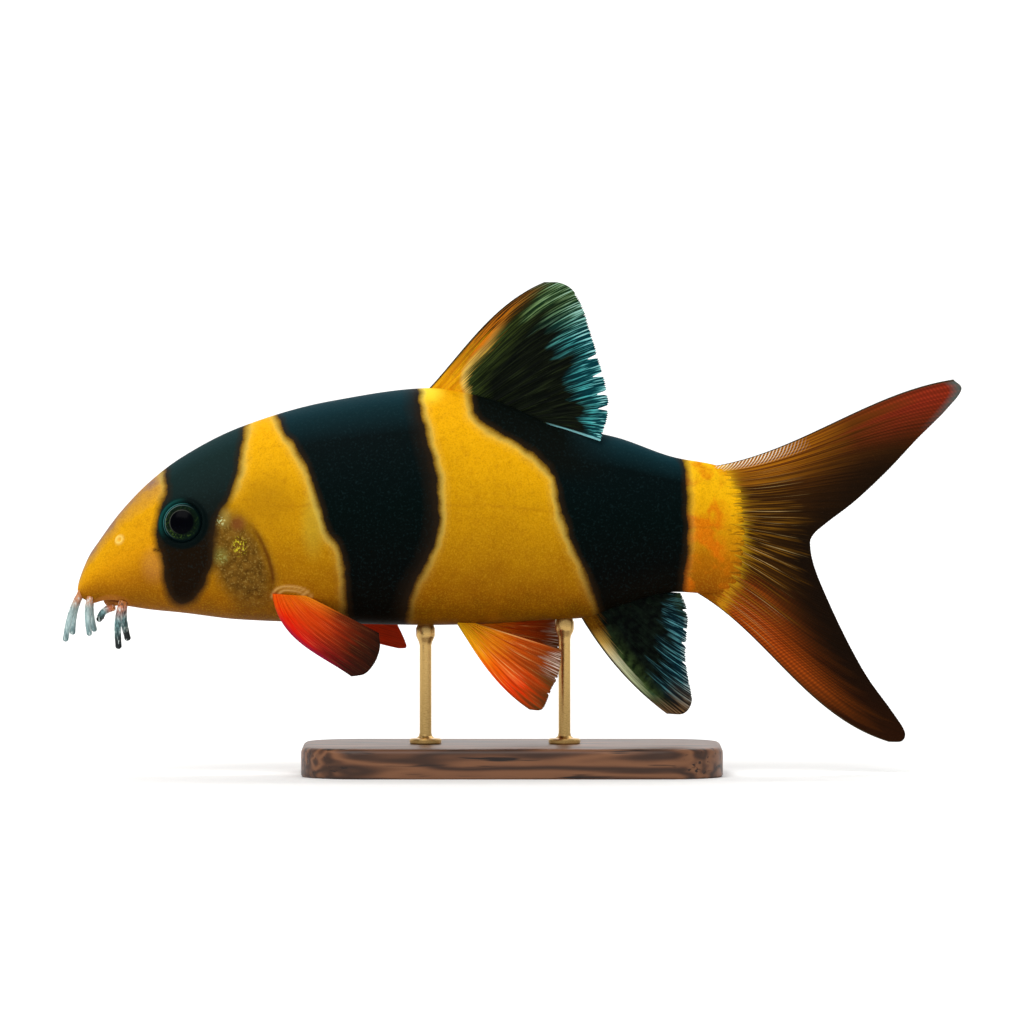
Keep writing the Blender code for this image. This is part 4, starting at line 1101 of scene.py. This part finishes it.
def tail_web():
    finish = Finish("tail_web", Roughness=0.55, Specular_IOR_Level=0.03)
    outer = finish.math("ABSOLUTE", finish.span("lead", 0.0, 1.0, -1.0, 1.0))
    upper, lower = finish.span("lead", 0.54, 0.46), finish.span("lead", 0.46, 0.54)
    beyond = finish.math("SUBTRACT", apart(finish, FAN_ALONG, FAN_HEIGHT), FAN_TO_FLESH)
    long, fine = streaks(finish, 2.0, 2.2, 3.0), streaks(finish, 13.0, 0.9)
    comb, reach = streaks(finish, 9.0, 1.0), waved(finish, "out", long, 0.12)
    web = finish.ramp(
        waved(finish, outer, long, 0.10), (0.0, (52, 30, 4)), (0.40, (58, 31, 5)),
        (0.75, (82, 42, 6)), (1.0, (108, 56, 9)),
    )
    # the leading sides glow: orange-gold above, and orange dotted by the rays' joints below
    warm = finish.times(upper, finish.span(waved(finish, outer, long, 0.1), 0.45, 0.9),
                        finish.span(beyond, 27.0, 6.0))
    amber = finish.mix(finish.span(comb, 0.40, 0.62), (122, 58, 6), (232, 146, 22))
    rows = finish.math("SINE", finish.times("count", 2 * math.pi * 4))
    dots = finish.times(finish.span(rows, -0.4, 0.8, 0.45, 1.0),
                        finish.span(joints(finish, 0.7), 0.3, 0.9, 0.5, 1.0))
    glow = finish.times(lower, finish.span(waved(finish, outer, long, 0.12), 0.35, 0.88),
                        finish.span("out", 0.92, 0.35), 0.9)
    # the tips: red above, with a grey-green end, and dark brown below
    rust = finish.times(upper, finish.span(waved(finish, "out", long, 0.10), 0.56, 0.84),
                        finish.span(outer, 0.60, 0.90), 0.9)
    dull = finish.times(lower, finish.span(reach, 0.52, 0.90), 0.92)
    rear = finish.times(finish.span(reach, 0.42, 0.92), finish.span(outer, 0.92, 0.50), 0.88)
    cap = finish.times(upper, finish.span("out", 0.955, 0.99), finish.span(outer, 0.7, 0.9), 0.7)
    # long fine gold lines run out over the web, and a bright fringe starts them at the flesh
    lines = finish.times(finish.span(comb, 0.53, 0.64),
                         finish.span(waved(finish, beyond, long, 3.0), 14.0, 3.0), 0.7)
    hairs = finish.times(finish.span(fine, 0.62, 0.68),
                         finish.span(waved(finish, beyond, long, 4.0), 15.0, 6.0), 0.45)
    golden = finish.mix(finish.span(comb, 0.40, 0.54), (170, 118, 6), (255, 208, 36))
    # short pale rays that lean on the leading ray above, and a dark line on both edges
    slant = finish.math("ADD", finish.times("far", 8.0), finish.times("count", 26.0))
    slant = finish.times(finish.span(finish.math("SINE", slant), 0.2, 0.8),
                         finish.span("lead", 0.085, 0.04), finish.span(beyond, 18.0, 8.0), 0.95)
    colour = finish.coats(
        web,
        (finish.times(warm, 0.95), amber),
        (glow, finish.mix(dots, (86, 26, 5), (204, 84, 16))),
        (rust, finish.mix(dots, (100, 26, 12), (160, 48, 26))),
        (dull, (26, 9, 3)),
        (rear, (20, 11, 4)),
        (finish.span(comb, 0.50, 0.36, 0.0, 0.4), (24, 11, 2)),
        (cap, (66, 104, 100)),
        (lines, (156, 104, 20)),
        (hairs, (236, 196, 124)),
        (finish.span(waved(finish, beyond, comb, 3.4), 2.2, -0.8), golden),
        (finish.span(waved(finish, beyond, comb, 1.8), 0.9, -1.0), gold_ground(finish)),
        (slant, (255, 246, 222)),
        (finish.span(outer, 0.985, 0.995), (56, 46, 30)),
    )
    return webbed(finish, colour, 0.12, joint=0.6, raised=0.012)


def sway(along, height, out, lead):
    """Swings the fin a little to the right, most at its tips."""
    return TAIL_SWAY * out * out


base = [
    (120.6, 61.1), (127.4, 58.8), (131.0, 53.2), (131.0, 47.1), (131.0, 43.0), (127.4, 39.4),
    (120.6, 37.9),
]
margin = [
    (175.2, 78.9), (176.8, 76.8), (173.5, 72.5), (168.0, 67.0), (162.0, 60.6), (155.6, 54.6),
    (150.0, 50.3), (147.2, 47.8), (146.6, 45.6), (147.5, 41.2), (150.1, 34.8), (153.8, 27.0),
    (158.0, 19.4), (162.9, 12.6), (165.5, 8.5), (165.0, 6.5), (162.4, 6.3),
]
piece = fin("tail_fin_web", base, margin, (-6.3, 3.2), 18, sway, end_bows=(4.0, -6.4), rows=90,
            brush=0.08, root_web=0.6)
piece.data.materials.append(tail_web())
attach(piece, "root")
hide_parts("tail_fin_upper", "tail_fin_lower")


# The pelvic fins are a pair of small paddles under the belly, cast in clear orange resin that
# is reddest along the leading edge. The right one is held a little higher and lies in shade.


def flared(side, root_along, root_height, root_round, inset, flare, curl):
    """A fin's Y: out from the flesh at its root, spreading and curling with distance."""
    root_y = float(side_y(root_along, root_height)) - inset

    def sideways(along, height, out, lead):
        away = np.hypot(along - root_along, height - root_height)
        return side * (root_y + flare * np.hypot(away, root_round) + curl * out * out)

    return sideways


def pelvic_web(name, shade):
    """The finish of one pelvic fin, and how far painted shade darkens it."""
    finish = Finish(name, Roughness=0.55, Specular_IOR_Level=0.04)
    long, fine = streaks(finish, 2.0, 1.8, 3.0), streaks(finish, 4.5, 2.4, 3.0)
    reach = waved(finish, "out", long, 0.10)
    front = finish.ramp(
        reach, (0.0, (254, 204, 16)), (0.28, (254, 170, 10)), (0.48, (252, 112, 4)),
        (0.70, (242, 60, 2)), (0.86, (176, 62, 8)), (1.0, (92, 54, 18)),
    )
    rear = finish.ramp(
        reach, (0.0, (252, 192, 16)), (0.30, (240, 138, 10)), (0.55, (204, 82, 8)),
        (0.80, (164, 66, 10)), (1.0, (100, 58, 20)),
    )
    rays = finish.times(finish.span(fine, 0.54, 0.70), finish.span("ray", 0.2, 0.9, 0.3, 0.8),
                        finish.span("out", 0.95, 0.5, 0.1, 0.8))
    fringe = finish.times(finish.span("lead", 0.55, 0.72), finish.span(reach, 0.86, 0.98),
                          finish.span(streaks(finish, 8.0, 3.4), 0.46, 0.58), 0.75)
    last = finish.times(finish.span("lead", 0.955, 0.975), finish.span("out", 0.75, 0.45), 0.7)
    colour = finish.coats(
        front,
        (finish.span(waved(finish, "lead", long, 0.08), 0.18, 0.55), rear),
        (finish.span(fine, 0.50, 0.34, 0.0, 0.45), (132, 42, 2)),
        (rays, (255, 206, 120)),
        (fringe, (246, 222, 204)),
        (last, (255, 200, 120)),
        # painted shade over the whole fin
        (shade, (96, 36, 8)),
    )
    return webbed(finish, colour, 0.25)


base = [(75.6, 30.9), (78.0, 30.7)]
pelvic_fins = (
    (-1, "left", [(90.4, 13.3), (92.8, 13.3), (93.9, 15.0), (94.9, 17.6), (96.0, 19.6),
                  (96.6, 22.4), (96.8, 25.2)], 0.38, 0.0),
    (1, "right", [(91.2, 17.4), (93.6, 17.8), (95.2, 20.4), (96.3, 23.8), (97.0, 27.0),
                  (97.0, 29.4), (95.6, 30.6)], 0.46, 0.1),
)
for side, word, margin, flare, shade in pelvic_fins:
    piece = fin(f"pelvic_fin_{word}_web", base, margin, (-1.3, -2.4), 8,
                flared(side, 79.5, 31.4, 2.0, 3.9, flare, 0.6), brush=0.3, root_web=1.0, ray_thick=0.4,
                per_ray=24, notches=((3.1, 0.06), (4.9, 0.08)), notch_deep=0.6)
    piece.data.materials.append(pelvic_web("pelvic_web_" + word, shade))
    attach(piece, "root")
    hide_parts("pelvic_fin_" + word)


# The pectoral fins are larger paddles behind the gills, in scarlet resin that darkens to brown
# at the tip. The left is held down and out, and the right is swept back under the body.


def pectoral_web(name, glow):
    """The finish of one pectoral fin, and how far a painted red light brightens it in the body's
    shade.
    """
    finish = Finish(name, Roughness=0.55, Specular_IOR_Level=0.04)
    long, fine = streaks(finish, 2.0, 1.6, 3.0), streaks(finish, 8.0, 3.0, 3.0)
    reach, side = waved(finish, "out", long, 0.07), waved(finish, "lead", long, 0.05)
    front = finish.ramp(
        reach, (0.0, (252, 96, 6)), (0.2, (238, 34, 2)), (0.48, (210, 18, 20)),
        (0.66, (134, 18, 20)), (0.86, (58, 16, 10)), (1.0, (36, 14, 8)),
    )
    middle = finish.ramp(
        reach, (0.0, (246, 112, 8)), (0.22, (224, 70, 4)), (0.42, (198, 56, 5)),
        (0.60, (140, 38, 8)), (0.80, (62, 22, 6)), (1.0, (32, 14, 6)),
    )
    rear = finish.ramp(
        reach, (0.0, (252, 158, 24)), (0.25, (226, 112, 14)), (0.48, (118, 46, 12)),
        (0.75, (76, 28, 9)), (1.0, (34, 15, 6)),
    )
    lines = finish.times(finish.span(fine, 0.54, 0.70), finish.span("out", 0.9, 0.4, 0.06, 0.2))
    # painted light: bright red brushed over a fin that lies in the body's shade
    lit = finish.times(finish.span(fine, 0.3, 0.55, 0.4, 1.0), glow)
    edge = finish.times(finish.span("lead", 0.07, 0.01), finish.span("out", 0.10, 0.35),
                        finish.span("out", 0.95, 0.7), 0.85)
    colour = finish.coats(
        front,
        (finish.span(side, 0.10, 0.38), middle),
        (finish.span(side, 0.58, 0.95), rear),
        (finish.span(fine, 0.50, 0.36, 0.0, 0.22), (92, 20, 2)),
        (lines, (255, 160, 90)),
        (lit, (226, 66, 26)),
        (edge, (150, 26, 62)),
    )
    return webbed(finish, colour, 0.25)


base = [(39.2, 36.4), (46.0, 36.0)]
pectoral_fins = (
    (-1, "left", [(55.0, 20.2), (57.8, 20.8), (59.8, 23.2), (60.7, 26.0), (60.5, 28.8)],
     (-5.8, -1.5), 0.46, 0.0),
    (1, "right", [(64.0, 24.5), (65.6, 24.7), (65.2, 26.4), (64.2, 28.6), (63.2, 30.6)],
     (-3.4, -2.0), 0.32, 0.75),
)
for side, word, margin, bows, flare, glow in pectoral_fins:
    piece = fin(f"pectoral_fin_{word}_web", base, margin, bows, 10,
                flared(side, 43.0, 35.8, 6.0, 3.4, flare, 1.0), brush=0.12, root_web=1.5,
                ray_thick=0.35, per_ray=24)
    piece.data.materials.append(pectoral_web("pectoral_web_" + word, glow))
    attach(piece, "root")
    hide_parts("pectoral_fin_" + word)


# The setting is a pale sweep of card that curves up behind the model, under a broad soft light
# above and in front of it, with one behind it, one on the card, and the light of the room.


def sweep():
    front, depth, height, bend, half = -4.0, 2.4, 2.4, 0.7, 3.0
    turns = np.linspace(0, math.pi / 2, 24)
    line = [(front, 0.0)] + [
        (depth - bend + bend * math.sin(t), bend - bend * math.cos(t)) for t in turns
    ] + [(depth, height)]
    points = [(x, y, z) for y, z in line for x in (-half, half)]
    faces = [(2 * i, 2 * i + 1, 2 * i + 3, 2 * i + 2) for i in range(len(line) - 1)]
    return solid("pale_sweep", points, faces)


card = Finish("pale_card", Roughness=0.9, Specular_IOR_Level=0.1)
fibre = card.noise(3.0, 2.0, 0.5)
card.feed(Base_Color=card.mix(fibre, (240, 240, 239), (244, 244, 243)))
piece = sweep()
piece.data.materials.append(card.material)


def soft_light(name, place, size, watts, aim=(0, 0, 0.05)):
    lamp = bpy.data.lights.new(name, "AREA")
    lamp.shape, lamp.size, lamp.size_y, lamp.energy = "RECTANGLE", size[0], size[1], watts
    holder = bpy.data.objects.new(name, lamp)
    bpy.context.scene.collection.objects.link(holder)
    holder.location = place
    towards = holder.location.copy()
    towards.x, towards.y, towards.z = (a - p for a, p in zip(aim, place))
    holder.rotation_euler = towards.to_track_quat("-Z", "Y").to_euler()


soft_light("key", (-0.4, -0.8, 1.1), (1.0, 0.8), 11)
soft_light("back", (0.3, 0.9, 1.0), (1.2, 0.5), 4)
soft_light("card_light", (0.0, 0.9, 2.0), (2.6, 0.4), 34, aim=(0, 2.4, 0.5))
room = bpy.data.worlds.new("room")
bpy.context.scene.world = room
room.use_nodes = True
room.node_tree.nodes["Background"].inputs["Color"].default_value = (1, 1, 1, 1)
room.node_tree.nodes["Background"].inputs["Strength"].default_value = 0.62
bpy.context.scene.view_settings.view_transform = "Standard"


# The camera looks at the fish's left side, a little from above and far off through a long lens.
# Its frame is as wide as the photograph's.

FRAME_WIDTH, MIDDLE_HEIGHT = 0.2048, 0.0524
CAMERA_AWAY, CAMERA_LIFT = 2.2, math.radians(1.5)

camera = bpy.data.objects.new("camera", bpy.data.cameras.new("camera"))
bpy.context.scene.collection.objects.link(camera)
camera.location = (
    0.0, -CAMERA_AWAY * math.cos(CAMERA_LIFT), MIDDLE_HEIGHT + CAMERA_AWAY * math.sin(CAMERA_LIFT),
)
camera.rotation_euler = (math.pi / 2 - CAMERA_LIFT, 0, 0)
camera.data.lens = camera.data.sensor_width * CAMERA_AWAY / FRAME_WIDTH
camera.data.clip_start = 0.01
bpy.context.scene.camera = camera
